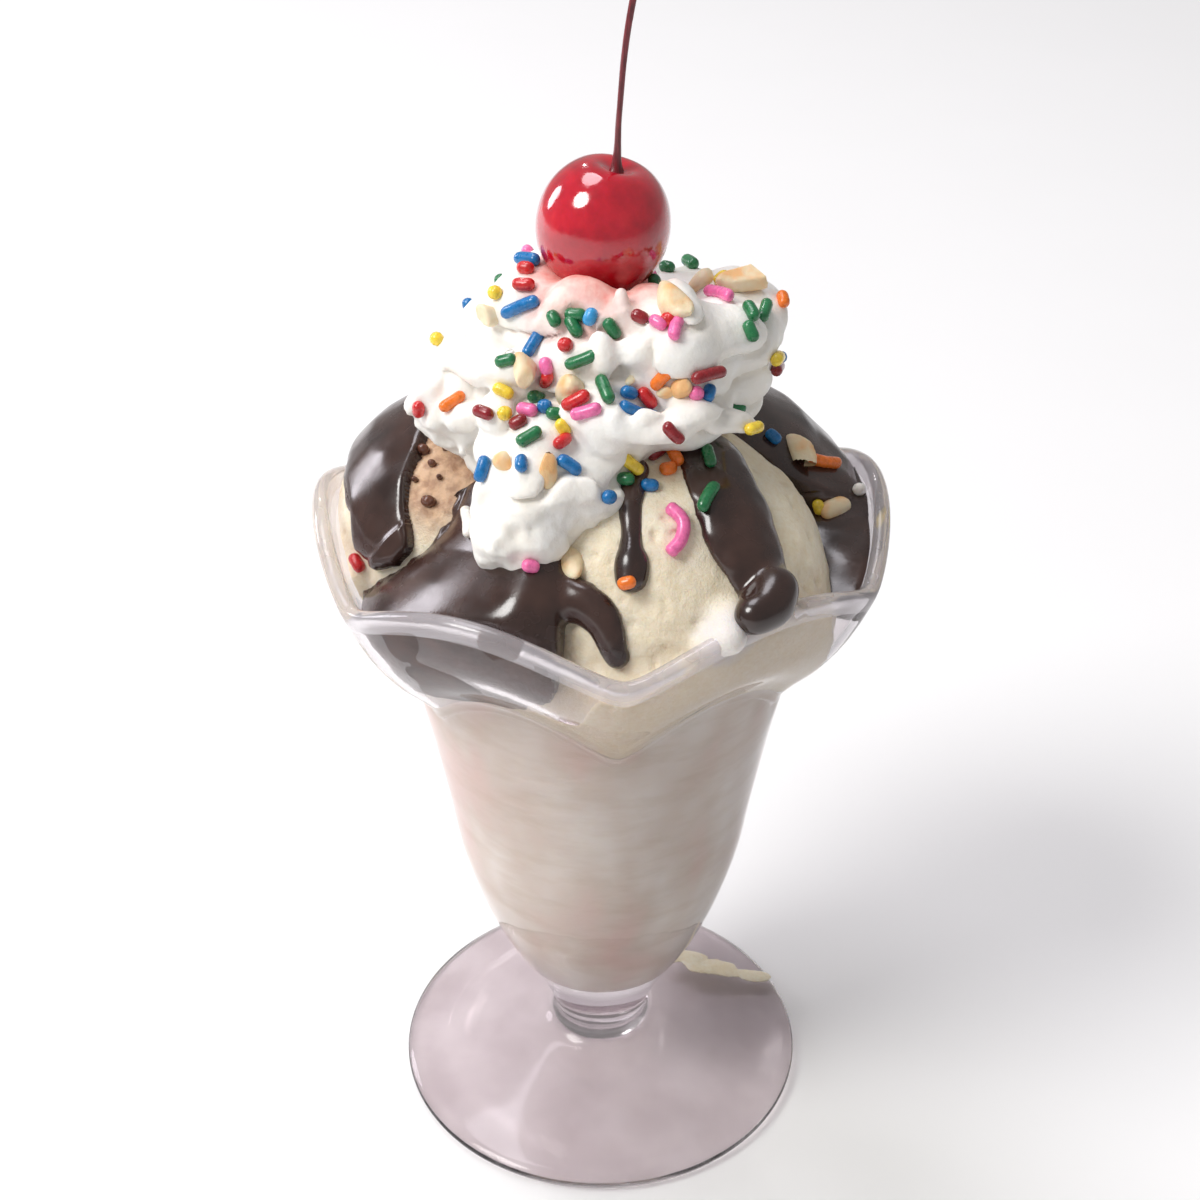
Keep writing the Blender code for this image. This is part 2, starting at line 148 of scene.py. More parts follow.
def surface_net(values, low, step):
    """Points and quads of the surface where values on a grid cross zero, inside below zero."""
    inside = values < 0
    limit = np.array(values.shape) - 1
    corners = [np.array(c) for c in np.ndindex(2, 2, 2)]
    count = sum(inside[tuple(slice(a, a + n) for a, n in zip(corner, limit))].astype(np.int8)
                for corner in corners)
    cells = np.argwhere((count > 0) & (count < 8))
    index = np.full(count.shape, -1, np.int64)
    index[tuple(cells.T)] = np.arange(len(cells))
    total = np.zeros((len(cells), 3))
    crossings = np.zeros(len(cells))
    for a in corners:
        for b in corners:
            if (b - a).min() < 0 or (b - a).sum() != 1:
                continue
            va, vb = values[tuple((cells + a).T)], values[tuple((cells + b).T)]
            cut = (va < 0) != (vb < 0)
            t = va[cut] / (va[cut] - vb[cut])
            total[cut] += a + t[:, None] * (b - a)
            crossings[cut] += 1
    places = np.array(low) + (cells + total / crossings[:, None]) * step
    quads = []
    for axis in range(3):
        ahead = np.moveaxis(inside, axis, 0)
        edge = ahead[:-1] != ahead[1:]
        spots = np.argwhere(np.moveaxis(edge, 0, axis))
        u, v = np.eye(3, dtype=int)[[(axis + 1) % 3, (axis + 2) % 3]]
        others = [(axis + 1) % 3, (axis + 2) % 3]
        keep = np.all((spots[:, others] >= 1) & (spots[:, others] < limit[others]), axis=1)
        spots = spots[keep]
        ring = np.stack([index[tuple((spots - o).T)] for o in (u + v, v, 0 * u, u)], axis=1)
        flip = ~inside[tuple(spots.T)]
        ring[flip] = ring[flip][:, ::-1]
        quads.append(ring)
    return places, np.concatenate(quads)


def meshed_field(field, low, high, step):
    axes = [np.arange(a, b + step, step, dtype=np.float32) for a, b in zip(low, high)]
    p = np.stack(np.meshgrid(*axes, indexing="ij"), axis=-1)
    return surface_net(field(p), low, step)


# ---------------- the glass's form

def petal(azimuth):
    """0 at a corner and 1 at a petal's middle."""
    wave = np.sin(PETALS / 2 * (azimuth - CORNER_AZIMUTH))
    low, high = CORNER_SOFTNESS, math.hypot(1, CORNER_SOFTNESS)
    return (np.hypot(wave, CORNER_SOFTNESS) - low) / (high - low)


def petal_shift(height):
    """How much a petal's middle rises and spreads, and how far all of it has begun."""
    begun = smoothstep(NECK_HEIGHT, LEDGE_HEIGHT, height)
    along = smoothstep(LEDGE_HEIGHT, RIM_HEIGHT, height)
    rise = begun * (ARCH_RISE + (PETAL_RISE - ARCH_RISE) * along)
    return rise, begun * ARCH_SPREAD * (1 - along), begun


def scalloped(radius, height, azimuth):
    middle = petal(azimuth)
    rise, spread, begun = petal_shift(height)
    radius = radius * (1 + begun * CORNER_REACH * (1 - 2 * middle)) + spread * middle
    return np.stack([radius * np.sin(azimuth), -radius * np.cos(azimuth),
                     height + rise * middle], axis=-1)


GLASS_INNER = [(0, 27.4), (6, 27.8), (11, 30), (15.2, 34.2), (19.2, 40.5), (22.4, 48.5),
               (25.4, 60), (27.4, 73), (29.6, 86), (31.6, 96.5), (34.2, 103.6), (38.8, 110),
               (42.8, 115.6), (46.0, 121.8), (48.3, 128.0)]
GLASS_OUTER = [(51.2, 127.2), (48.8, 121.4), (45.9, 115.8), (42, 110.2), (37.8, 105.6),
               (35.6, 102.8), (35.0, LEDGE_HEIGHT), (34.1, 100.2), (33.6, 95), (31.6, 84),
               (29.5, 72), (27.6, 60), (24.4, 48), (20.7, 38), (16.6, 30), (13.4, 24.6),
               (11.2, 19.4), (10, 16), (9.7, 13.2), (11, 10.8), (15, 8.9), (24, 6.9), (33, 5.2),
               (38.6, 3.7), (40.6, 2.7), (FOOT_RADIUS, 1.7), (40.5, 0.6), (39.2, 0), (33, 0),
               (28, 0.9), (14, 2.2), (0, 2.6)]
INNER = smooth_path(GLASS_INNER, 8)


def wall(p):
    """Distance from the bowl's inner surface, negative inside, for points above the bottom."""
    x, y, z = p[..., 0], p[..., 1], p[..., 2]
    azimuth = np.arctan2(x, -y)
    middle = petal(azimuth)
    height = z - 0.8 * ARCH_RISE * middle
    for _ in range(5):
        height = z - petal_shift(height)[0] * middle
    _, spread, begun = petal_shift(height)
    radius = (np.hypot(x, y) - spread * middle) / (1 + begun * CORNER_REACH * (1 - 2 * middle))
    inner = np.interp(height, INNER[:, 1], INNER[:, 0])
    lean = np.gradient(INNER[:, 0], INNER[:, 1])
    slope = np.interp(height, INNER[:, 1], np.clip(lean, 0, 2))
    return (radius - inner) / np.sqrt(1 + slope**2)


def rim_height(p):
    return RIM_HEIGHT + PETAL_RISE * petal(azimuth_of(p))


def ring_quads(rings, sides):
    grid = np.arange(rings * sides).reshape(rings, sides)
    ahead = np.roll(grid, -1, axis=1)
    quads = np.stack([grid[:-1], ahead[:-1], ahead[1:], grid[1:]], axis=-1)
    return quads.reshape(-1, 4).tolist(), grid, ahead


def closed_faces(rings, sides):
    """Faces over rings of points, closed by a fan to one point before them and one after."""
    faces, grid, ahead = ring_quads(rings, sides)
    first, last = rings * sides, rings * sides + 1
    faces += [[first, int(b), int(a)] for a, b in zip(grid[0], ahead[0])]
    faces += [[last, int(a), int(b)] for a, b in zip(grid[-1], ahead[-1])]
    return faces


def lathe(profile, steps, warp):
    """Points and faces of a closed turned form whose profile starts and ends on the axis."""
    azimuth = np.arange(steps) * 2 * math.pi / steps
    body = profile[1:-1]
    rings = warp(body[:, :1] + 0 * azimuth, body[:, 1:2] + 0 * azimuth, azimuth + 0 * body[:, :1])
    ends = [warp(np.array([end[0]]), np.array([end[1]]), np.array([0.0])) for end in
            (profile[0], profile[-1])]
    places = np.concatenate([rings.reshape(-1, 3), *ends])
    return places, [[face[0], *face[:0:-1]] for face in closed_faces(len(body), steps)]


# ---------------- materials

class Look:
    """A material's node tree, in lengths of millimetres."""

    def __init__(self, name, colour, roughness, **settings):
        self.material = bpy.data.materials.new(name)
        self.material.use_nodes = True
        self.tree = self.material.node_tree
        self.shader = self.tree.nodes["Principled BSDF"]
        self.shader.inputs["Base Color"].default_value = (*colour, 1)
        self.shader.inputs["Roughness"].default_value = roughness
        for key, value in settings.items():
            self.feed(self.shader.inputs[key.replace("_", " ")], value)
        self.place = self.add("TexCoord").outputs["Object"]

    def add(self, kind, **inputs):
        node = self.tree.nodes.new("ShaderNode" + kind)
        for key, value in inputs.items():
            self.feed(node.inputs[key.replace("_", " ")], value)
        return node

    def feed(self, socket, value):
        """Links or sets a socket."""
        if isinstance(value, bpy.types.NodeSocket):
            self.tree.links.new(value, socket)
        elif socket.type == "RGBA" and len(value) == 3:
            socket.default_value = (*value, 1)
        else:
            socket.default_value = value

    def noise(self, size, detail=3.0, roughness=0.5, stretch=(1, 1, 1)):
        place = self.add("Mapping", Vector=self.place, Scale=stretch).outputs[0]
        return self.add("TexNoise", Vector=place, Scale=1 / (size * MM), Detail=detail,
                        Roughness=roughness).outputs["Fac"]

    def ramp(self, value, *stops):
        node = self.add("ValToRGB", Fac=value)
        while len(node.color_ramp.elements) < len(stops):
            node.color_ramp.elements.new(0.5)
        for element, (at, colour) in zip(node.color_ramp.elements, stops):
            element.position = at
            element.color = (*colour, 1) if len(colour) == 3 else colour
        return node.outputs["Color"]

    def span(self, value, low, high, start=0.0, end=1.0):
        node = self.add("MapRange", Value=value, From_Min=low, From_Max=high,
                        To_Min=start, To_Max=end)
        node.clamp = True
        return node.outputs["Result"]

    def math(self, operation, a, b):
        node = self.add("Math")
        node.operation = operation
        for socket, value in zip(node.inputs, (a, b)):
            self.feed(socket, value)
        return node.outputs[0]

    def mix(self, factor, a, b, blend="MIX"):
        node = self.add("Mix")
        node.data_type, node.blend_type = "RGBA", blend
        for number, value in zip((0, 6, 7), (factor, a, b)):
            self.feed(node.inputs[number], value)
        return node.outputs[2]

    def near(self, centre, reach, ragged):
        """1 close to a point, falling to 0 at a ragged edge this far from it."""
        node = self.add("VectorMath")
        node.operation = "DISTANCE"
        self.feed(node.inputs[0], self.place)
        self.feed(node.inputs[1], tuple(np.array(centre) * MM))
        wobble = self.math("MULTIPLY", self.noise(4.5), ragged * MM)
        return self.span(self.math("ADD", node.outputs["Value"], wobble),
                         (reach * 0.55 + ragged / 2) * MM, (reach + ragged / 2) * MM, 1.0, 0.0)

    def colour(self, socket):
        self.feed(self.shader.inputs["Base Color"], socket)

    def rough(self, value, low, high):
        self.feed(self.shader.inputs["Roughness"], self.span(value, 0.3, 0.7, low, high))

    def bump(self, *layers):
        """Layers of (height, depth in millimetres)."""
        before = None
        for height, depth in layers:
            node = self.add("Bump", Height=height, Distance=depth * MM, Strength=1.0)
            if before is not None:
                self.feed(node.inputs["Normal"], before)
            before = node.outputs[0]
        self.feed(self.shader.inputs["Normal"], before)

    def let_light_through(self, tint):
        """Glass that lamps shine through, tinted, instead of casting a black shadow."""
        clear = self.add("BsdfTransparent", Color=tint)
        both = self.add("MixShader",
                        Fac=self.add("LightPath").outputs["Is Shadow Ray"])
        for socket, node in zip(both.inputs[1:], (self.shader, clear)):
            self.feed(socket, node.outputs[0])
        self.feed(self.tree.nodes["Material Output"].inputs["Surface"], both.outputs[0])


def glass_look():
    look = Look("clear_glass", (0.86, 0.825, 0.84), 0.035, Transmission_Weight=1.0, IOR=1.38)
    height = look.add("SeparateXYZ", Vector=look.place).outputs["Z"]
    foot_edge_wobble = look.math("MULTIPLY", look.noise(9, 2.0), 4 * MM)
    # Painted shade: the clear glass is tinted darker and mottled over the foot, standing in for the
    # shade it shows there.
    foot = look.span(look.math("ADD", height, foot_edge_wobble), 10 * MM, 22 * MM, 1.0, 0.0)
    foot_painted_shade = look.ramp(look.noise(13, 3.0), (0.35, (0.66, 0.605, 0.615)),
                       (0.65, (0.76, 0.71, 0.72)))
    # Painted shade: the solid neck is tinted much darker, standing in for the shade it shows there.
    above = look.span(height, 10 * MM, 13 * MM, 0.0, 0.85)
    neck_painted_shade = look.math("MULTIPLY", above, look.span(height, 25 * MM, 28 * MM, 1.0, 0.0))
    tone = look.mix(foot, (0.86, 0.825, 0.84), foot_painted_shade)
    look.colour(look.mix(neck_painted_shade, tone, (0.36, 0.31, 0.34)))
    look.rough(foot, 0.035, 0.10)
    look.bump((look.noise(14, 1.0), 0.22), (look.noise(3, 1.0), 0.015))
    look.let_light_through((0.53, 0.51, 0.52))
    return look.material


def painted_light_rim_look():
    """The rim, painted pale and partly opaque: painted light standing in for the light its thick
    bead gathers.
    """
    look = Look("glass_rim_painted_light", (0.84, 0.80, 0.83), 0.12, Transmission_Weight=0.72, IOR=1.45)
    look.colour(look.ramp(look.noise(7, 2.0), (0.3, (0.78, 0.735, 0.77)),
                          (0.7, (0.90, 0.87, 0.90))))
    look.rough(look.noise(5, 2.0), 0.09, 0.16)
    look.bump((look.noise(6, 1.0), 0.15))
    look.let_light_through((0.53, 0.51, 0.52))
    return look.material


def ice_cream_look():
    look = Look("vanilla_ice_cream", (0.84, 0.74, 0.56), 0.5, Subsurface_Weight=0.25,
                Subsurface_Scale=0.003, Specular_IOR_Level=0.35,
                Subsurface_Radius=(1.0, 0.7, 0.4))
    soft = look.noise(9, 4.0, 0.6)
    fine = look.noise(0.9, 4.0, 0.65)
    tone = look.ramp(soft, (0.3, (0.86, 0.755, 0.565)), (0.7, (0.93, 0.855, 0.70)))
    pale = look.ramp(fine, (0.35, (0.92, 0.86, 0.76)), (0.62, (1, 1, 1)))
    melted = look.near((20.5, -44.5, 134.5), 7.0, 4)  # where it spills over the rim
    look.colour(look.mix(melted, look.mix(0.6, tone, pale, "MULTIPLY"), (0.78, 0.745, 0.715)))
    look.rough(look.noise(3), 0.35, 0.65)
    look.bump((fine, 0.22), (look.noise(0.35, 3.0), 0.1))
    return look


def tan_scoop_look():
    look = ice_cream_look()
    look.material.name = "smeared_ice_cream"
    plain = look.shader.inputs["Base Color"].links[0].from_socket
    smear = look.near((-28, -10, 147), 14, 4)
    tan = look.ramp(look.noise(2.0, 4.0), (0.38, (0.36, 0.17, 0.09)), (0.6, (0.66, 0.41, 0.25)))
    look.colour(look.mix(look.math("MULTIPLY", smear, 0.85), plain, tan))
    return look.material


def filling_look():
    look = Look("packed_ice_cream", (0.86, 0.77, 0.66), 0.35, Subsurface_Weight=0.2,
                Subsurface_Scale=0.004, Subsurface_Radius=(1.0, 0.7, 0.5))
    broad = look.noise(16, 2.0, 0.5, (1, 1, 0.5))
    streak = look.noise(6, 3.0, 0.6, (0.5, 0.5, 1.6))
    tone = look.ramp(broad, (0.34, (0.93, 0.88, 0.81)), (0.5, (0.83, 0.74, 0.65)),
                     (0.64, (0.84, 0.66, 0.59)))
    worn = look.ramp(streak, (0.3, (0.86, 0.82, 0.76)), (0.55, (1, 1, 1)))
    look.colour(look.mix(0.55, tone, worn, "MULTIPLY"))
    look.bump((streak, 0.3))
    return look.material


def fudge_look():
    look = Look("hot_fudge", (0.035, 0.016, 0.012), 0.2, Specular_IOR_Level=0.6,
                Coat_Weight=0.25, Coat_Roughness=0.12)
    tone = look.noise(8, 3.0)
    look.colour(look.ramp(tone, (0.3, (0.022, 0.010, 0.008)), (0.7, (0.060, 0.028, 0.021))))
    look.rough(look.noise(5, 3.0), 0.14, 0.32)
    look.bump((look.noise(5.0, 2.0), 0.06), (look.noise(0.5, 2.0), 0.01))
    return look.material


def pressed_fudge_look():
    """Fudge where it lies against the glass, which leaves it no gloss of its own."""
    look = Look("fudge_on_glass", (0.045, 0.018, 0.012), 0.7, Specular_IOR_Level=0.0)
    look.colour(look.ramp(look.noise(5, 4.0), (0.3, (0.040, 0.010, 0.005)),
                          (0.6, (0.075, 0.022, 0.012)), (0.8, (0.12, 0.045, 0.030))))
    look.bump((look.noise(3, 3.0), 0.2))
    return look.material


def cream_look():
    look = Look("whipped_cream", (0.93, 0.905, 0.86), 0.45, Subsurface_Weight=0.15,
                Subsurface_Scale=0.002, Specular_IOR_Level=0.4,
                Subsurface_Radius=(1.0, 0.85, 0.7))
    tone = look.ramp(look.noise(7, 3.0), (0.35, (0.91, 0.875, 0.81)), (0.65, (0.95, 0.935, 0.90)))
    stain = look.near(CHERRY_CENTRE - (0, 6, 9), 16.0, 7)
    juice = look.ramp(look.noise(2.2, 3.0), (0.3, (0.80, 0.27, 0.23)), (0.7, (0.90, 0.55, 0.48)))
    look.colour(look.mix(stain, tone, juice))
    look.rough(look.noise(2.0), 0.38, 0.6)
    look.bump((look.noise(1.3, 3.0), 0.16), (look.noise(0.4, 2.0), 0.03))
    return look.material


def cherry_look():
    look = Look("candied_cherry", (0.55, 0.005, 0.02), 0.1, Subsurface_Weight=0.45,
                Subsurface_Scale=0.004, Specular_IOR_Level=0.6, Coat_Weight=0.9,
                Coat_Roughness=0.04,
                Subsurface_Radius=(1.0, 0.12, 0.1))
    look.colour(look.ramp(look.noise(6, 4.0, 0.6), (0.3, (0.38, 0.0, 0.014)),
                          (0.55, (0.55, 0.003, 0.022)), (0.75, (0.66, 0.015, 0.03))))
    look.rough(look.noise(2.0), 0.06, 0.2)
    look.bump((look.noise(3.0, 2.0), 0.1), (look.noise(0.8, 2.0), 0.02))
    return look.material


def stem_look():
    look = Look("cherry_stem", (0.15, 0.012, 0.02), 0.35, Coat_Weight=0.3, Coat_Roughness=0.2)
    grain = look.noise(0.35, 3.0, 0.6, (1, 1, 0.12))
    look.colour(look.ramp(grain, (0.3, (0.07, 0.004, 0.008)), (0.7, (0.24, 0.02, 0.03))))
    look.bump((grain, 0.08))
    return look.material


SPRINKLE_COLOURS = {
    "blue": (0.0, 0.16, 0.44), "sky": (0.04, 0.33, 0.68), "green": (0.010, 0.17, 0.055),
    "red": (0.62, 0.015, 0.018), "crimson": (0.26, 0.006, 0.012), "orange": (0.88, 0.19, 0.012),
    "yellow": (0.92, 0.66, 0.045), "pink": (0.88, 0.17, 0.42), "white": (0.88, 0.86, 0.80),
}


def sprinkle_look(name):
    colour = SPRINKLE_COLOURS[name]
    look = Look(f"sprinkle_{name}", colour, 0.25, Subsurface_Weight=0.1, Subsurface_Scale=0.001,
                Coat_Weight=0.3, Coat_Roughness=0.15)
    dim, lit = (tuple(c * k for c in colour) for k in (0.78, 1.0))
    lit = tuple(min(c * 1.1 + 0.01, 1) for c in lit)
    look.colour(look.ramp(look.noise(1.1, 3.0), (0.3, dim), (0.65, lit)))
    look.rough(look.noise(0.8), 0.18, 0.4)
    look.bump((look.noise(0.5, 3.0), 0.05))
    return look.material


def nut_look():
    look = Look("chopped_nut", (0.80, 0.58, 0.34), 0.5, Subsurface_Weight=0.15,
                Subsurface_Scale=0.002)
    broad = look.noise(5, 2.0)
    look.colour(look.ramp(broad, (0.36, (0.86, 0.50, 0.22)), (0.48, (0.84, 0.66, 0.42)),
                          (0.62, (0.90, 0.78, 0.56))))
    look.rough(look.noise(1.0), 0.35, 0.6)
    look.bump((look.noise(0.8, 4.0), 0.12), (look.noise(0.25, 2.0), 0.03))
    return look.material


# ---------------- pieces

pieces = {}


def make_piece(name, places, faces, material, slot, replaces=()):
    """A smooth-shaded mesh from points in millimetres, which rides on the frame."""
    mesh = bpy.data.meshes.new(name)
    mesh.from_pydata((np.asarray(places) * MM).tolist(), [],
                     faces if isinstance(faces, list) else faces.tolist())
    mesh.validate()
    mesh.materials.append(material)
    mesh.shade_smooth()
    piece = bpy.data.objects.new(name, mesh)
    bpy.context.scene.collection.objects.link(piece)
    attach(piece, "root")
    if replaces:
        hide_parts(*replaces)
    pieces[name] = piece
    return piece


def make_glass():
    half = RIM_HALF_THICKNESS
    angles = np.radians(np.arange(10, 171, 20))
    bead = np.stack([RIM_RADIUS - half - half * np.cos(angles),
                     RIM_HEIGHT - half + half * np.sin(angles)], axis=1)
    profile = np.concatenate([INNER, bead, smooth_path(GLASS_OUTER, 6)])
    profile[:, 1] = np.maximum(profile[:, 1], 0)
    places, faces = lathe(profile, 264, scalloped)
    piece = make_piece("sundae_glass", places, faces, glass_look(), "glass", ["glass"])
    # Faces in the band near the rim take the rim material, which is painted pale as painted light.
    piece.data.materials.append(painted_light_rim_look())
    middles = np.array([places[face].mean(axis=0) for face in faces])
    in_painted_band = middles[:, 2] > rim_height(middles) - RIM_BAND
    piece.data.polygons.foreach_set("material_index", in_painted_band.astype(np.int32))


def make_fill():
    side = INNER[(INNER[:, 1] < 105)] + (CONTACT, 0)
    side[0] = (0, side[0][1] - CONTACT)
    top = np.array([(side[-1][0] * 0.9, 108.5), (side[-1][0] * 0.5, 110.5), (0, 111)])
    places, faces = lathe(np.concatenate([side, top]), 200, scalloped)
    make_piece("packed_ice_cream", places, faces, filling_look(), "ice_cream",
               ["ice_cream_fill"])


def grain(q, seed):
    """The rough, porous skin of scooped ice cream."""
    pits = np.maximum(0, noise(q, 1.7, seed + 2) - 0.42) * 1.3
    scrape = noise(q * (0.3, 0.3, 1.0), 1.1, seed + 3) * 0.10
    return (noise(q, 11, seed) * 0.9 + noise(q, 4.5, seed + 1) * 0.3
            + noise(q, 1.9, seed + 4) * 0.15 + scrape + pits)


def with_lobes(field, lobes, blend):
    """A field with round lobes grown onto it."""
    def grown(p):
        body = field(p)
        for place, size in lobes:
            body = smooth_min(body, norm(p - place) - size, blend)
        return body
    return grown


def scoop_field(ball, seed, skirt_azimuth, skirt_half_width, skirt_drop):
    """A scoop that has slumped against the glass round one azimuth, up to a drop below the rim."""
    def field(p):
        centre, radius = ball
        body = norm(p - centre) - radius
        shell = wall(p) - CONTACT
        azimuth = np.degrees(azimuth_of(p))
        away = np.abs((azimuth - skirt_azimuth + 180) % 360 - 180)
        drop = skirt_drop + 30 * smoothstep(skirt_half_width * 0.7, skirt_half_width, away)
        ripple = 1.2 * noise(p, 7, seed + 5)
        skirt = np.maximum(shell, p[..., 2] - (rim_height(p) - drop + ripple))
        body = smooth_min(body, skirt, SKIRT_BLEND)
        near = np.abs(body) < 3
        body[near] += grain(p[near], seed)
        body = np.maximum(body, rim_height(p) - SCOOP_DEPTH - p[..., 2])
        over_rim = smoothstep(-1.5, 1.5, p[..., 2] - rim_height(p))
        return np.maximum(body, shell - SCOOP_INSET * over_rim)
    return field


def direction(azimuth, elevation):
    """The unit vector at two angles in radians."""
    level = math.cos(elevation)
    return np.array((math.sin(azimuth) * level, -math.cos(azimuth) * level, math.sin(elevation)))


SPILL = [((20.5, -45.2, 135.0), 2.7), ((21.0, -41.0, 135.4), 3.2), ((17.6, -44.5, 133.0), 2.0)]


def make_scoops():
    plan = (
        ("vanilla_scoop_front", "scoop_front", SCOOP_FRONT, 1, 26, 36, 5.5, SPILL, 0.55,
         ice_cream_look().material),
        ("vanilla_scoop_left", "scoop_left", SCOOP_LEFT, 12, -96, 34, 9.0, (), 0.6,
         tan_scoop_look()),
        ("vanilla_scoop_back", "scoop_back", SCOOP_BACK, 23, 140, 24, 12.0, (), 0.8,
         ice_cream_look().material),
    )
    for name, node, ball, seed, azimuth, half, drop, lobes, step, material in plan:
        low, high = node_box(node)
        low, high = low - 4, high + 4
        low[2] = max(low[2], 98.0)
        if node == "scoop_front":
            low[:2] = np.minimum(low[:2], (-50, -52))
            high[0] = max(high[0], 52)
        field = with_lobes(scoop_field(ball, seed, azimuth, half, drop), lobes, SPILL_BLEND)
        make_piece(name, *meshed_field(field, low, high, step), material, "ice_cream", [node])


def vertex_data(mesh, what):
    values = np.zeros(len(mesh.vertices) * 3, np.float32)
    mesh.vertices.foreach_get(what, values)
    return values.reshape(-1, 3)


def remeshed(node, rounds):
    """A CAD piece's points and faces, evenly meshed and smoothed, in millimetres."""
    copy = bpy.data.objects.new("scratch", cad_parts[node].data.copy())
    bpy.context.scene.collection.objects.link(copy)
    even = copy.modifiers.new("Even", "REMESH")
    even.mode = "VOXEL"
    even.voxel_size = SAUCE_VOXEL * MM
    soft = copy.modifiers.new("Soft", "SMOOTH")
    soft.factor, soft.iterations = 0.5, rounds
    graph = bpy.context.evaluated_depsgraph_get()
    mesh = bpy.data.meshes.new_from_object(copy.evaluated_get(graph))
    bpy.data.objects.remove(copy)
    places, normals = vertex_data(mesh, "co") / MM, vertex_data(mesh, "normal")
    faces = [list(polygon.vertices) for polygon in mesh.polygons]
    bpy.data.meshes.remove(mesh)
    return places, normals, faces


def dome(t):
    """How high sauce stands this share of the way in from its edge."""
    t = np.clip(t, 0, 1)
    return np.sqrt(t * (2 - t)) - 0.8 * (t <= 0)


def trimmed_left(places):
    """The sauce over the left scoop, with a bare strip between its blanket and its pool."""
    centre, radius = SCOOP_LEFT
    out = places - centre
    far = norm(out)
    azimuth = np.degrees(azimuth_of(out))
    elevation = np.degrees(np.arcsin(out[:, 2] / far))
    ragged = 2.0 * noise(places, 5, 71) + 0.8 * noise(places, 2.2, 72)
    lower = np.interp(azimuth, (-180, -120, -100, -85, -70, -60, -50, -38, -30, -25),
                      (34, 34, 32, 33, 31, 28, 17, 15, 18, 26))
    upper = np.interp(azimuth, (-70, -56, -45, -39, -33, -27, -25), (110, 69, 63, 53, 42, 33, 27))
    blanket = np.minimum(elevation - lower, upper - elevation) + ragged
    blanket = np.where(azimuth > -25, -1, blanket)
    ridge = np.interp(elevation, (-15, 0, 11, 21, 29, 38, 49, 57, 63, 90),
                      (-60, -48, -37.5, -27, -18, -11, -7, -3, 2, 20))
    inside = (azimuth - ridge) * np.cos(np.radians(elevation))
    pool = inside + ragged
    most = np.maximum(2.6 * dome(blanket / 6), np.where(pool > 0, 1.6 * dome(pool / 4)
                                                        + 0.7 * np.maximum(inside - 2, 0), -1.6))
    height = far - radius
    kept = smooth_min(height, most, 1.6)
    return centre + out * ((radius + kept) / far)[:, None]


def spread_to_wall(places):
    """The sauce over the back scoop, run out to the glass on the right."""
    centre, radius = SCOOP_BACK
    azimuth = np.degrees(azimuth_of(places))
    outer = smoothstep(0, 2, norm(places - centre) - radius)
    fading = 136 + 1.5 * noise(places, 6, 75)
    share = (outer * smoothstep(fading + 5, fading - 4, places[:, 2])
             * smoothstep(50, 64, azimuth) * smoothstep(122, 104, azimuth))
    places = places - share[:, None] * smoothstep(132, 122, places[:, 2])[:, None] * (0, 0, 9.0)
    gap = np.maximum(-wall(places) + CONTACT, 0) * share
    flat = places * (1, 1, 0)
    return places + flat / norm(flat)[:, None] * gap[:, None]


def make_thick_fudge():
    look, pressed = fudge_look(), pressed_fudge_look()
    for name, node, rounds, seed in (("fudge_over_left", "fudge_left", 20, 31),
                                     ("fudge_over_back", "fudge_back", 16, 37)):
        places, normals, faces = remeshed(node, rounds)
        swell = 0.30 + 0.28 * noise(places, 9, seed) + 0.03 * noise(places, 3.5, seed + 1)
        places = places + normals * swell[:, None]
        places = trimmed_left(places) if node == "fudge_left" else spread_to_wall(places)
        shell = wall(places)
        over = np.maximum(shell - CONTACT, 0) * (places[:, 2] < rim_height(places) - 1)
        outward = places * (1, 1, 0) / np.maximum(np.hypot(places[:, 0], places[:, 1]), 1)[:, None]
        places = places - outward * over[:, None]
        piece = make_piece(name, places, faces, look, "fudge", [node])
        piece.data.materials.append(pressed)
        middles = np.array([places[face].mean(axis=0) for face in faces])
        on_glass = (wall(middles) > -0.5) & (middles[:, 2] < rim_height(middles) - 1.5)
        piece.data.polygons.foreach_set("material_index", on_glass.astype(np.int32))
    return look


def make_wall_fudge(look):
    """The sauce that fills the gap between the back scoop and the glass on the right."""
    def field(p):
        azimuth = np.degrees(azimuth_of(p))
        top = np.interp(azimuth, (56, 62, 70, 80, 90, 104, 112),
                        (122, 127.5, 130.5, 133, 134.5, 134.5, 126))
        bottom = np.interp(azimuth, (56, 62, 70, 80, 90, 112), (128, 124.5, 121.5, 117, 113, 113))
        body = np.maximum(p[..., 2] - top, bottom - p[..., 2])
        for centre, radius in (SCOOP_FRONT, SCOOP_BACK):
            body = -smooth_min(-body, norm(p - centre) - radius + 1.5, 0.8)
        body = -smooth_min(-body, -(wall(p) - CONTACT), 0.6)
        return body + 0.5 * noise(p, 8, 83)

    make_piece("fudge_at_wall", *meshed_field(field, (20, -32, 108), (52, 24, 139), 0.5),
               look, "fudge")


def from_span(p, a, b):
    """Distance from a straight span, and how far along it the nearest point lies, 0 to 1."""
    along = b - a
    t = np.clip(((p - a) @ along) / (along @ along), 0, 1)
    return norm(p - a - t[..., None] * along), t


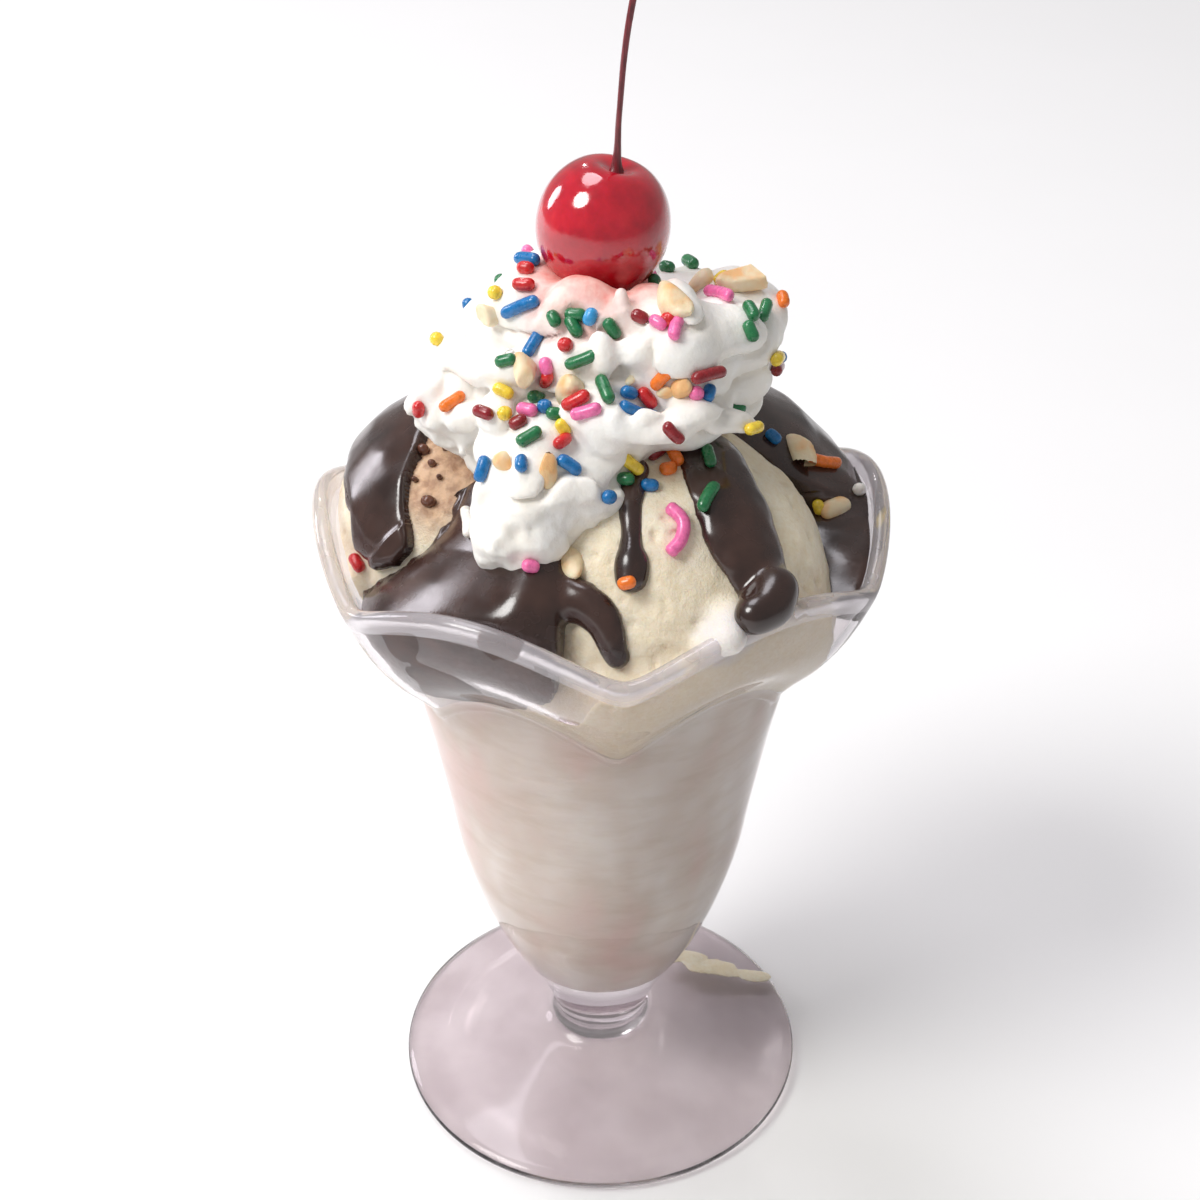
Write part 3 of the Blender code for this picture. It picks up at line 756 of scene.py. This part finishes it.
def run_field(ball, stations, seed):
    """Sauce that ran down a ball, domed across.

    A station is azimuth, elevation, half width and height.
    """
    path = smooth_path(stations, 5)
    centre, radius = ball
    track = centre + radius * np.array([direction(*angles) for angles in np.radians(path[:, :2])])

    def field(p):
        height = norm(p - centre) - radius
        best = np.full(p.shape[:-1], 1e3, np.float32)
        for i in range(len(track) - 1):
            gap, t = from_span(p, track[i], track[i + 1])
            across = np.sqrt(np.maximum(gap**2 - height**2, 0))
            half = path[i, 2] + (path[i + 1, 2] - path[i, 2]) * t
            tall = path[i, 3] + (path[i + 1, 3] - path[i, 3]) * t
            tall = np.where(height < 0, 1.6, tall)
            value = np.sqrt((across / half) ** 2 + (height / tall) ** 2) - 1
            best = np.minimum(best, value * np.minimum(half, tall))
        return best + 0.22 * noise(p, 4, seed) + 0.08 * noise(p, 1.8, seed + 1)

    return field, track


OVERFLOW = [((24.4, -43.4, 138.3), 3.2), ((27.3, -41.2, 138.6), 3.5), ((28.4, -38.6, 140.2), 3.3)]


def make_drips(look):
    plan = (
        ("fudge_drip_short", "fudge_short_drip", 0.3, 41, (),
         [(-22, 72, 2.6, 1.3), (-17, 63, 2.2, 1.5), (-13, 54, 1.9, 1.6), (-11, 46, 2.0, 1.9),
          (-10, 41, 2.7, 2.4), (-9.6, 37.5, 2.6, 2.4)]),
        ("fudge_drip_wide", "fudge_wide_drip", 0.4, 47, OVERFLOW,
         [(92, 79, 5.4, 2.0), (64, 70, 6.4, 2.3), (49, 60, 6.8, 2.5), (42, 49, 6.8, 2.6),
          (39, 38, 6.4, 2.8), (39.5, 32, 5.2, 3.0), (40, 28, 3.8, 3.4)]),
    )
    for name, node, step, seed, lobes, stations in plan:
        run, track = run_field(SCOOP_FRONT, stations, seed)
        run = with_lobes(run, lobes, OVERFLOW_BLEND)
        around = track.min(0) - 13, track.max(0) + 13
        make_piece(name, *meshed_field(run, *around, step), look, "fudge", [node])


def ring_of_lobes(centre, across, count, radius, rise_right, rise_back, turn=0.0):
    found = []
    for n in range(count):
        a = 2 * math.pi * (n + turn) / count
        height = rise_right * math.sin(a) - rise_back * math.cos(a)
        offset = np.array((across * math.sin(a), -across * math.cos(a), height))
        found.append((np.array(centre) + offset, radius * (1 + 0.08 * math.sin(3 * a + 1))))
    return found


def cream_field(p):
    lobes = ring_of_lobes((1, -3, 156), 19.8, 9, 10.8, -0.6, 0)
    lobes[:3] = [((1, -20.5, 160.5), 9.4), ((13, -16, 162.2), 8.4), ((20, -5, 160.5), 9.0)]
    lobes += ring_of_lobes((6, 1, 167.6), 15.8, 8, 9.8, -2, -3.6, 0.3)
    lobes += [((2, -1, 160), 15.0), ((2, -1, 166), 11.5)]
    lobes += [((-21, -3, 159.5), 9.5), ((-25, -8, 158), 7.6)]
    tongue = smooth_path([(-6, -20, 156, 9.5), (-10, -26.5, 152.5, 9), (-13.5, -30, 148.5, 7.2),
                          (-16, -31.5, 145, 4.2)], 3)
    lobes += [(place[:3], place[3]) for place in tongue] + [((-3, -26.5, 153.5), 7.5)]
    folds = (
        [(5.5, -17, 171, 4.2), (4.0, -18.0, 177, 2.6), (3.2, -16.8, 181.5, 1.0)],
        [(10, -19.5, 169, 4.6), (8.5, -21.5, 175, 2.9), (7.0, -21.2, 179.0, 1.0)],
        [(-0.6, -19.5, 177.5, 1.7), (0.4, -22.5, 173.5, 2.1), (1.2, -24.0, 169.0, 1.8)],
        [(-5, -24.5, 163.0, 2.4), (1, -28.2, 164.6, 2.7), (8, -29.0, 164.6, 3.1),
         (15, -26.6, 164.4, 3.2), (21, -23.2, 162.4, 2.2), (25, -20.5, 159.5, 1.0)],
        [(-14, -17, 169, 3.2), (-19, -14.5, 167, 3.0), (-24, -9, 166, 2.4)],
        [(16, -17, 172, 3.4), (22, -12, 171, 3.4), (27, -4, 169, 3.0)],
        [(-20, -16, 160.5, 3.4), (-25.5, -14.5, 158.5, 2.8), (-30, -10, 158, 1.8)],
        [(-4, 18, 172, 3.6), (6, 20, 170, 3.2), (15, 17, 168, 2.2)],
        [(-15, 15, 168, 3.6), (-20, 8, 167, 3.0), (-24, 1, 165, 2.0)],
    )
    flow = p + 1.8 * np.stack([noise(p, 9, s) for s in (51, 52, 53)], axis=-1)
    body = np.full(p.shape[:-1], 1e3, np.float32)
    for centre, radius in lobes:
        body = smooth_min(body, norm(flow - centre) - radius, 2.6)
    for fold in folds:
        track = smooth_path(fold, 3)
        part = np.full(p.shape[:-1], 1e3, np.float32)
        for a, b in zip(track, track[1:]):
            gap, t = from_span(p, a[:3], b[:3])
            part = np.minimum(part, gap - (a[3] + (b[3] - a[3]) * t))
        body = smooth_min(body, part, 1.8)
    near = np.abs(body) < 4
    q = p[near]
    turn = np.arctan2(q[:, 0] - 2, q[:, 1] + 2)
    swirl = np.stack([np.sin(turn) * 9, np.cos(turn) * 9, q[:, 2] * 1.15
                      + 0.35 * np.hypot(q[:, 0] - 2, q[:, 1] + 2)], axis=-1)
    billow = np.abs(noise(swirl, 6.5, 61) + 0.35 * noise(q, 6, 64))
    crease = np.maximum(0, 0.16 - billow) * 8
    craggy = smoothstep(158, 150, q[:, 2])
    body[near] += ((0.4 - 1.6 * billow) + crease + (0.30 + 0.45 * craggy) * noise(q, 4.0, 62)
                   + (0.12 + 0.30 * craggy) * noise(q, 1.6, 63)
                   + craggy * np.abs(noise(q, 2.6, 65)) * 0.9)
    cup = CHERRY_CENTRE - p
    return np.maximum(body, CHERRY_RADIUS - 0.25 - norm(cup))


SPATTER = [(-29.8, 141.8, 1.3), (-30.8, 134.0, 2.4), (-31.2, 144.6, 2.0), (-27.3, 145.0, 1.1),
           (-28.6, 139.0, 0.9), (-33.0, 138.5, 1.0)]


def blob_on(ball, place, across, high):
    """A low round drop on a ball."""
    centre, radius = ball
    sides, levels = 14, 6
    out = (place - centre) / norm(place - centre)
    side = np.cross(out, (0.2, 0.3, 0.93))
    side /= norm(side)
    other = np.cross(out, side)
    places = []
    for level in range(levels):
        t = level / (levels - 1) * math.pi / 2
        for n in range(sides):
            a = 2 * math.pi * n / sides
            r = across * math.cos(t) * (1 + 0.12 * math.sin(2 * a + across))
            spot = place + side * r * math.cos(a) + other * r * math.sin(a)
            spot = centre + (spot - centre) * radius / norm(spot - centre)
            places.append(spot + out * (high * math.sin(t) - 0.6 * (level == 0)))
    faces, grid, _ = ring_quads(levels, sides)
    return np.array(places), [*faces, grid[-1].tolist(), grid[0][::-1].tolist()]


def make_spatter(look):
    """Drops of sauce on the bare strip of the left scoop."""
    centre, radius = SCOOP_LEFT
    parts = []
    for x, z, across in SPATTER:
        way, _ = sight(x, z)
        out = CAMERA_PLACE - centre
        b = way @ out
        inside = b * b - out @ out + (radius + 0.5) ** 2
        if inside > 0:
            place = CAMERA_PLACE + way * (-b - math.sqrt(inside))
            parts.append(blob_on((centre, radius + 0.5), place, across / 2, across * 0.35 + 0.4))
    thin = look.copy()
    thin.name = "thin_fudge"
    ramp = next(node for node in thin.node_tree.nodes if node.type == "VALTORGB")
    tones = ((0.08, 0.026, 0.014, 1), (0.16, 0.055, 0.03, 1))
    for element, tone in zip(ramp.color_ramp.elements, tones):
        element.color = tone
    make_piece("fudge_spatter", *gathered(parts), thin, "fudge")


def make_smear():
    """A thin smear of melted ice cream on the foot, right of the stem."""
    def field(p):
        x, y, z = p[..., 0], p[..., 1], p[..., 2]
        r = np.hypot(x, y)
        top = np.interp(r, [11, 15, 24, 33, 39], [10.8, 8.9, 6.9, 5.2, 3.8])
        spots = ((19.0, 19.0, 4.6, 2.9), (25.5, 16.6, 6.4, 2.9), (32.5, 15.8, 4.6, 2.3))
        across = np.min([np.hypot((x - a) / rx, (y - b) / ry) for a, b, rx, ry in spots], axis=0)
        ragged = across + 0.45 * noise(p, 2.6, 91)
        thick = 0.55 * np.sqrt(np.clip(1 - ragged, 0, 1)) - 0.25 * (ragged > 1)
        return np.abs(z - top) - thick
    look = ice_cream_look()
    look.material.name = "melted_ice_cream"
    make_piece("ice_cream_smear", *meshed_field(field, (12, 9, 3), (39, 25, 10), 0.25),
               look.material, "ice_cream")


def make_cream():
    low, high = node_box("whipped_cream")
    make_piece("whipped_cream_swirl", *meshed_field(cream_field, low - 6, high + 6, 0.55),
               cream_look(), "whipped_cream", ["whipped_cream"])


def tilted(radius, height, azimuth):
    dents = 0.22 * np.sin(3 * azimuth + height * 0.25) + 0.14 * np.sin(5 * azimuth - height * 0.4)
    radius = radius * (1 + 0.018 * dents)
    x, y = radius * np.sin(azimuth), -radius * np.cos(azimuth)
    c, s = math.cos(CHERRY_TILT), math.sin(CHERRY_TILT)
    return np.stack([x * c + height * s, y, height * c - x * s], axis=-1) + CHERRY_CENTRE


def make_cherry():
    t = np.linspace(math.pi, 0, 61)
    radius = CHERRY_RADIUS * np.maximum(np.sin(t), 0) ** 0.94
    radius[[0, -1]] = 0
    height = CHERRY_HALF_HEIGHT * np.cos(t)
    height -= np.where(t < math.pi / 2, CHERRY_DIMPLE * np.exp(-((radius / 3.2) ** 2)), 0)
    places, faces = lathe(np.stack([radius, height], axis=1)[::-1], 96, tilted)
    make_piece("cherry_fruit", places, faces, cherry_look(), "cherry", ["cherry"])


def blunted(ring, tip):
    """A narrower ring between a tube's last one and its tip."""
    middle = ring.mean(axis=0)
    return middle + (ring - middle) * 0.72 + (tip - middle) * 0.7


def tube(path, sides, lumps=0.0):
    """Points and faces of a closed tube along a path of points and radii, pinched at its ends."""
    rings = []
    angles = np.arange(sides) * 2 * math.pi / sides
    track = path[:, :3]
    way = np.gradient(track, axis=0)
    way /= norm(way)[:, None]
    side = np.cross(way, (0.31, 0.9, 0.3))
    side /= norm(side)[:, None]
    other = np.cross(way, side)
    for i, radius in enumerate(path[:, 3]):
        lumpy = radius * (1 + lumps * (0.7 * np.sin(2 * angles + i * 0.31)
                                       + 0.4 * np.sin(5 * angles + i * 0.9)))
        rings.append(track[i] + np.outer(lumpy * np.cos(angles), side[i])
                     + np.outer(lumpy * np.sin(angles), other[i]))
    start = track[0] - way[0] * path[0, 3] * 0.55
    end = track[-1] + way[-1] * path[-1, 3] * 0.55
    rings = [blunted(rings[0], start), *rings, blunted(rings[-1], end)]
    return np.concatenate([*rings, [start], [end]]), closed_faces(len(rings), sides)


def make_stem():
    out = np.array((math.sin(CHERRY_TILT), 0, math.cos(CHERRY_TILT)))
    foot = CHERRY_CENTRE + out * (CHERRY_HALF_HEIGHT - CHERRY_DIMPLE - 0.2)
    path = smooth_path([(*foot, 1.25), (*(foot + (0.15, 0, 2.6)), 0.70),
                        (*(foot + (0.5, 0, 10.5)), 0.50), (*(foot + (1.6, 0.2, 22.5)), 0.50),
                        (*(STEM_TIP - (0.5, 0, 4)), 0.62), (*(STEM_TIP - (0, 0, 0.6)), 1.05),
                        (*STEM_TIP, 0.6)], 8)
    places, faces = tube(path, 18, 0.1)
    make_piece("cherry_stalk", places, faces, stem_look(), "cherry_stem", ["cherry_stem"])


# ---------------- what is scattered on top

# Where a rod lies, by the line of sight from the front through the plane Y = 0: X, Z and seen
# length in tenths of a millimetre, and seen turn in degrees. A length under 10 is a round one.
RODS = {
    "blue": [(-121, 1797, 38, 174), (-132, 1715, 66, 23), (-112, 1645, 51, 59),
        (45, 1552, 24, 164), (61, 1520, 65, 162), (-97, 1524, 2, 0), (-204, 1404, 49, 74),
        (-138, 1413, 29, 90), (-59, 1412, 49, 146), (181, 1555, 32, 75), (299, 1466, 31, 139),
        (86, 1369, 30, 175), (12, 1343, 2, 0)],
    "red": [(-124, 1782, 16, 174), (-127, 1755, 37, 178), (-56, 1645, 2, 0), (-88, 1584, 23, 69),
        (-40, 1538, 53, 28), (79, 1548, 42, 129), (-312, 1528, 23, 90), (-71, 1459, 31, 36),
        (114, 1689, 2, 0), (-440, 1210, 36, 120)],
    "yellow": [(-173, 1740, 2, 0), (-273, 1655, 2, 0), (-169, 1554, 38, 155), (-168, 1513, 2, 0),
        (-61, 1494, 28, 123), (52, 1420, 53, 140), (202, 1766, 20, 39), (295, 1623, 23, 172),
        (262, 1491, 28, 17), (463, 1285, 26, 169), (388, 1330, 27, 107)],
    "green": [(-76, 1695, 27, 116), (-41, 1704, 37, 178), (-44, 1680, 41, 120),
        (19, 1680, 39, 123), (-160, 1613, 37, 13), (-31, 1620, 59, 21), (8, 1559, 50, 113),
        (-115, 1551, 22, 167), (-80, 1511, 28, 173), (-124, 1467, 50, 30), (121, 1807, 31, 24),
        (147, 1792, 22, 135), (110, 1783, 20, 162), (249, 1705, 33, 119), (272, 1707, 34, 71),
        (250, 1670, 39, 114), (231, 1528, 40, 5), (189, 1427, 38, 105), (193, 1345, 58, 61),
        (46, 1380, 26, 175)],
    "sky": [(-13, 1697, 26, 68)],
    "pink": [(-89, 1608, 23, 102), (-23, 1517, 55, 16), (-126, 1518, 34, 169),
        (97, 1684, 31, 148), (130, 1675, 41, 72), (197, 1735, 47, 156), (162, 1555, 2, 0),
        (-129, 1209, 20, 170)],
    "orange": [(107, 1587, 51, 45), (-256, 1533, 49, 33), (301, 1728, 26, 104),
        (390, 1418, 68, 171), (130, 1441, 57, 118), (119, 1402, 17, 11), (49, 1170, 34, 14)],
    "crimson": [(-200, 1517, 34, 160), (-141, 1494, 34, 29), (66, 1697, 27, 155),
        (310, 1600, 26, 4), (181, 1595, 58, 15), (127, 1481, 46, 134), (98, 1435, 36, 34)],
    "white": [(455, 1360, 2, 0), (-236, 1292, 59, 97)],
}
CURVED_ROD = [(12.3, 132.2), (14.6, 129.5), (14.3, 125.8), (12.5, 123.3)]
NUTS = [(-17.2, 141.6, 4.0), (-9.3, 139.0, 4.6), (-5.9, 121.3, 7.4), (-18.4, 170.0, 4.6),
        (-13.4, 159.2, 4.8), (-5.6, 157.0, 6.4), (11.1, 156.3, 4.0), (13.7, 157.0, 4.2),
        (12.3, 171.0, 7.2), (5.0, 157.6, 2.4), (16.2, 176.4, 5.2), (21.2, 175.2, 6.4),
        (34.1, 145.8, 5.6), (42.1, 133.0, 7.0)]
ROD_RADIUS = 1.08
ROD_LIFT = ROD_RADIUS * 0.62
ROUND_ROD = (2.5, 1.22)  # length, radius
SHORTEST_ROD, LONGEST_ROD = 3.0, 7.6
REAR_TOPPINGS = 50
REAR_COLOURS = ["blue", "green", "red", "yellow", "pink", "orange", "crimson", "sky"]
RIGHT = np.array((1.0, 0, 0))
UP = np.array((0, math.sin(CAMERA_PITCH), math.cos(CAMERA_PITCH)))  # as the camera sees it


def tree_of(names):
    places, faces, base = [], [], 0
    for name in names:
        mesh = pieces[name].data
        places += (vertex_data(mesh, "co") / MM).tolist()
        faces += [[v + base for v in polygon.vertices] for polygon in mesh.polygons]
        base = len(places)
    return BVHTree.FromPolygons(places, faces)


def sight(x, z):
    way = np.array((x, 0.0, z)) - CAMERA_PLACE
    return way / norm(way), norm(way)


def rod_mesh(length, radius, bend=0.0):
    """A rod with blunt round ends along X."""
    sides, ends = 12, 4
    half = max(length / 2 - radius, 0.02)
    stations = [(-half - radius * math.cos(a), radius * math.sin(a) ** 0.8)
                for a in np.linspace(0.12, math.pi / 2, ends)]
    stations += [(0.0, radius * 0.985)]
    stations += [(-x, r) for x, r in stations[ends - 1::-1]]
    angles = np.arange(sides) * 2 * math.pi / sides
    rings = [np.stack([x + 0 * angles, r * np.cos(angles) + bend * (1 - (x / (half + radius)) ** 2),
                       r * np.sin(angles)], axis=1) for x, r in stations]
    places = np.concatenate([*rings, [[-half - radius, 0, 0], [half + radius, 0, 0]]])
    return places, closed_faces(len(stations), sides)


def laid(shape, where, normal, along, lift):
    """A shape moved so that its X runs along a direction on the surface and its Z off it."""
    places, faces = shape
    along = along - normal * (along @ normal)
    along = along / norm(along)
    side = np.cross(normal, along)
    return places @ np.stack([along, side, normal]) + where + normal * lift, faces


def nut_mesh(size, rng):
    """A chip of nut: flat broken faces with soft edges."""
    ways = rng.normal(size=(11, 3))
    ways /= norm(ways)[:, None]
    reach = np.linalg.norm(ways * np.array((0.52, 0.38, 0.25)) * size, axis=1)
    reach *= rng.uniform(0.82, 1.12, len(reach))
    half = size * 0.7

    def field(p):
        over = (p @ ways.T - reach) * (9 / size)
        soft = np.log(np.exp(np.clip(over, -30, 30)).sum(axis=-1)) * size / 9
        return np.maximum(soft, np.abs(p[..., 2]) - size * 0.3) + 0.07 * noise(p, size * 0.3, 81)

    low = np.full(3, -half)
    places, quads = meshed_field(field, low, -low, size / 13)
    return places, quads.tolist()


def gathered(parts):
    places, faces, base = [], [], 0
    for more, their in parts:
        places.append(more)
        faces += [[v + base for v in face] for face in their]
        base += len(more)
    return np.concatenate(places), faces


def seen_through(tree, x, z):
    """The line of sight through a point of the plane Y = 0, its length to there, and the place and
    normal where it meets the sundae, or where the sundae comes nearest to that point."""
    way, reach = sight(x, z)
    place, normal, _, _ = tree.ray_cast(Vector(CAMERA_PLACE), Vector(way))
    if place is None:
        place, normal, _, _ = tree.find_nearest(Vector(CAMERA_PLACE + way * reach))
    return way, reach, np.array(place), np.array(normal)


def rod_seen(tree, rng, x, z, length, turn):
    """A rod on the surface that shows this long, turned this far, from the front."""
    way, reach, place, normal = seen_through(tree, x, z)
    a = math.radians(turn)
    seen = RIGHT * math.cos(a) + UP * math.sin(a)
    along = seen - way * (seen @ normal) / min(way @ normal, -0.35)
    if length < 1:
        shape = rod_mesh(*ROUND_ROD)
    else:
        true = length * norm(place - CAMERA_PLACE) / reach * norm(along)
        true = min(max(true, SHORTEST_ROD), LONGEST_ROD)
        shape = rod_mesh(true, ROD_RADIUS * rng.uniform(0.94, 1.05),
                         0.25 * rng.normal() * (true / 6) ** 2)
    return laid(shape, place, normal, along, ROD_LIFT)


def scatter_behind(cream, rng, rods, nuts):
    """Rods and nuts over the back of the cream, which doesn't show from the front."""
    middle = np.array((2.0, 0.0, 160.0))
    made = 0
    while made < REAR_TOPPINGS:
        azimuth = math.radians(rng.uniform(85, 275))
        lift = math.radians(rng.uniform(-8, 75))
        way = direction(azimuth, lift)
        place, normal, _, _ = cream.ray_cast(Vector(middle + way * 60), Vector(-way))
        along = rng.normal(size=3)
        length, name = rng.uniform(4.2, 6.6), REAR_COLOURS[rng.integers(len(REAR_COLOURS))]
        if place is None or norm(np.array(place) - CHERRY_CENTRE) < CHERRY_RADIUS + 2:
            continue
        place, normal = np.array(place), np.array(normal)
        turned_away = (place - CAMERA_PLACE) @ normal / norm(place - CAMERA_PLACE)
        if turned_away < 0.42:
            continue
        if made % 8 == 3:
            nuts.append(laid(nut_mesh(length * 1.1, rng), place, normal, along, 0.6))
        else:
            shape = rod_mesh(length, ROD_RADIUS, 0.1 * rng.normal())
            rods[name].append(laid(shape, place, normal, along, ROD_LIFT))
        made += 1


def scatter():
    tree = tree_of(["whipped_cream_swirl", "vanilla_scoop_front", "vanilla_scoop_left",
                    "vanilla_scoop_back", "fudge_over_left", "fudge_over_back",
                    "fudge_drip_short", "fudge_drip_wide"])
    rng = np.random.default_rng(5)
    rods = {name: [rod_seen(tree, rng, x / 10, z / 10, length / 10, turn)
                   for x, z, length, turn in rows] for name, rows in RODS.items()}
    bent = []
    for x, z in CURVED_ROD:
        _, _, place, normal = seen_through(tree, x, z)
        bent.append((*(place + normal * ROD_RADIUS * 0.6), ROD_RADIUS * 1.05))
    rods["pink"].append(tube(smooth_path(bent, 5), 12))
    nuts = []
    for x, z, size in NUTS:
        _, _, place, normal = seen_through(tree, x, z)
        shape = nut_mesh(size * 1.12, rng)
        nuts.append(laid(shape, place, normal, RIGHT + 0.3 * rng.normal(size=3), size * 0.06))
    scatter_behind(tree_of(["whipped_cream_swirl"]), rng, rods, nuts)
    for name, parts in rods.items():
        make_piece(f"sprinkles_{name}", *gathered(parts), sprinkle_look(name), "sprinkles")
    make_piece("chopped_nuts", *gathered(nuts), nut_look(), "nuts")


# ---------------- stage

def make_stage():
    floor_mesh = bpy.data.meshes.new("floor")
    side = 4.0
    floor_mesh.from_pydata([(-side, -side, 0), (side, -side, 0), (side, side, 0),
                            (-side, side, 0)], [], [(0, 1, 2, 3)])
    floor = bpy.data.objects.new("floor", floor_mesh)
    floor.location.z = -0.0002
    bpy.context.scene.collection.objects.link(floor)
    look = Look("pale_floor", (0.93, 0.93, 0.93), 0.6)
    look.colour(look.ramp(look.noise(60, 2.0), (0.2, (0.925, 0.925, 0.925)),
                          (0.8, (0.935, 0.935, 0.935))))
    floor.data.materials.append(look.material)

    world = bpy.data.worlds.new("studio")
    bpy.context.scene.world = world
    world.use_nodes = True
    backdrop = world.node_tree.nodes["Background"]
    backdrop.inputs["Color"].default_value = (1.0, 0.985, 0.975, 1)
    backdrop.inputs["Strength"].default_value = 0.34

    aim = Vector((0, 0, 0.13))
    for name, place, power, size, colour in (
            ("key", (-1.10, -0.55, 1.45), 23.0, (0.8, 0.8), (1.0, 0.99, 0.97)),
            ("overhead", (-0.50, 0.45, 1.90), 14.0, (1.1, 0.9), (0.96, 0.94, 1.0)),
            ("back", (-0.36, 1.30, 1.15), 1.6, (0.13, 0.11), (1.0, 1.0, 1.0)),
            ("window", (-1.45, 0.85, 0.62), 6.5, (0.5, 0.7), (0.96, 0.93, 1.0))):
        lamp = bpy.data.lights.new(name, "AREA")
        lamp.shape = "ELLIPSE"
        lamp.energy = power
        lamp.size, lamp.size_y = size
        lamp.color = colour
        holder = bpy.data.objects.new(name, lamp)
        holder.location = place
        holder.rotation_euler = (aim - holder.location).to_track_quat("-Z", "Y").to_euler()
        bpy.context.scene.collection.objects.link(holder)


def make_camera():
    data = bpy.data.cameras.new("camera")
    data.sensor_width = 36.0
    data.lens = CAMERA_LENS
    data.clip_start = 0.01
    camera = bpy.data.objects.new("camera", data)
    camera.location = tuple(CAMERA_PLACE * MM)
    camera.rotation_euler = (math.pi / 2 - CAMERA_PITCH, 0, 0)
    bpy.context.scene.collection.objects.link(camera)
    bpy.context.scene.camera = camera


bpy.context.scene.view_settings.view_transform = "Standard"
make_glass()
make_fill()
make_scoops()
fudge = make_thick_fudge()
make_wall_fudge(fudge)
make_drips(fudge)
make_spatter(fudge)
make_smear()
make_cream()
make_cherry()
make_stem()
scatter()
make_stage()
make_camera()
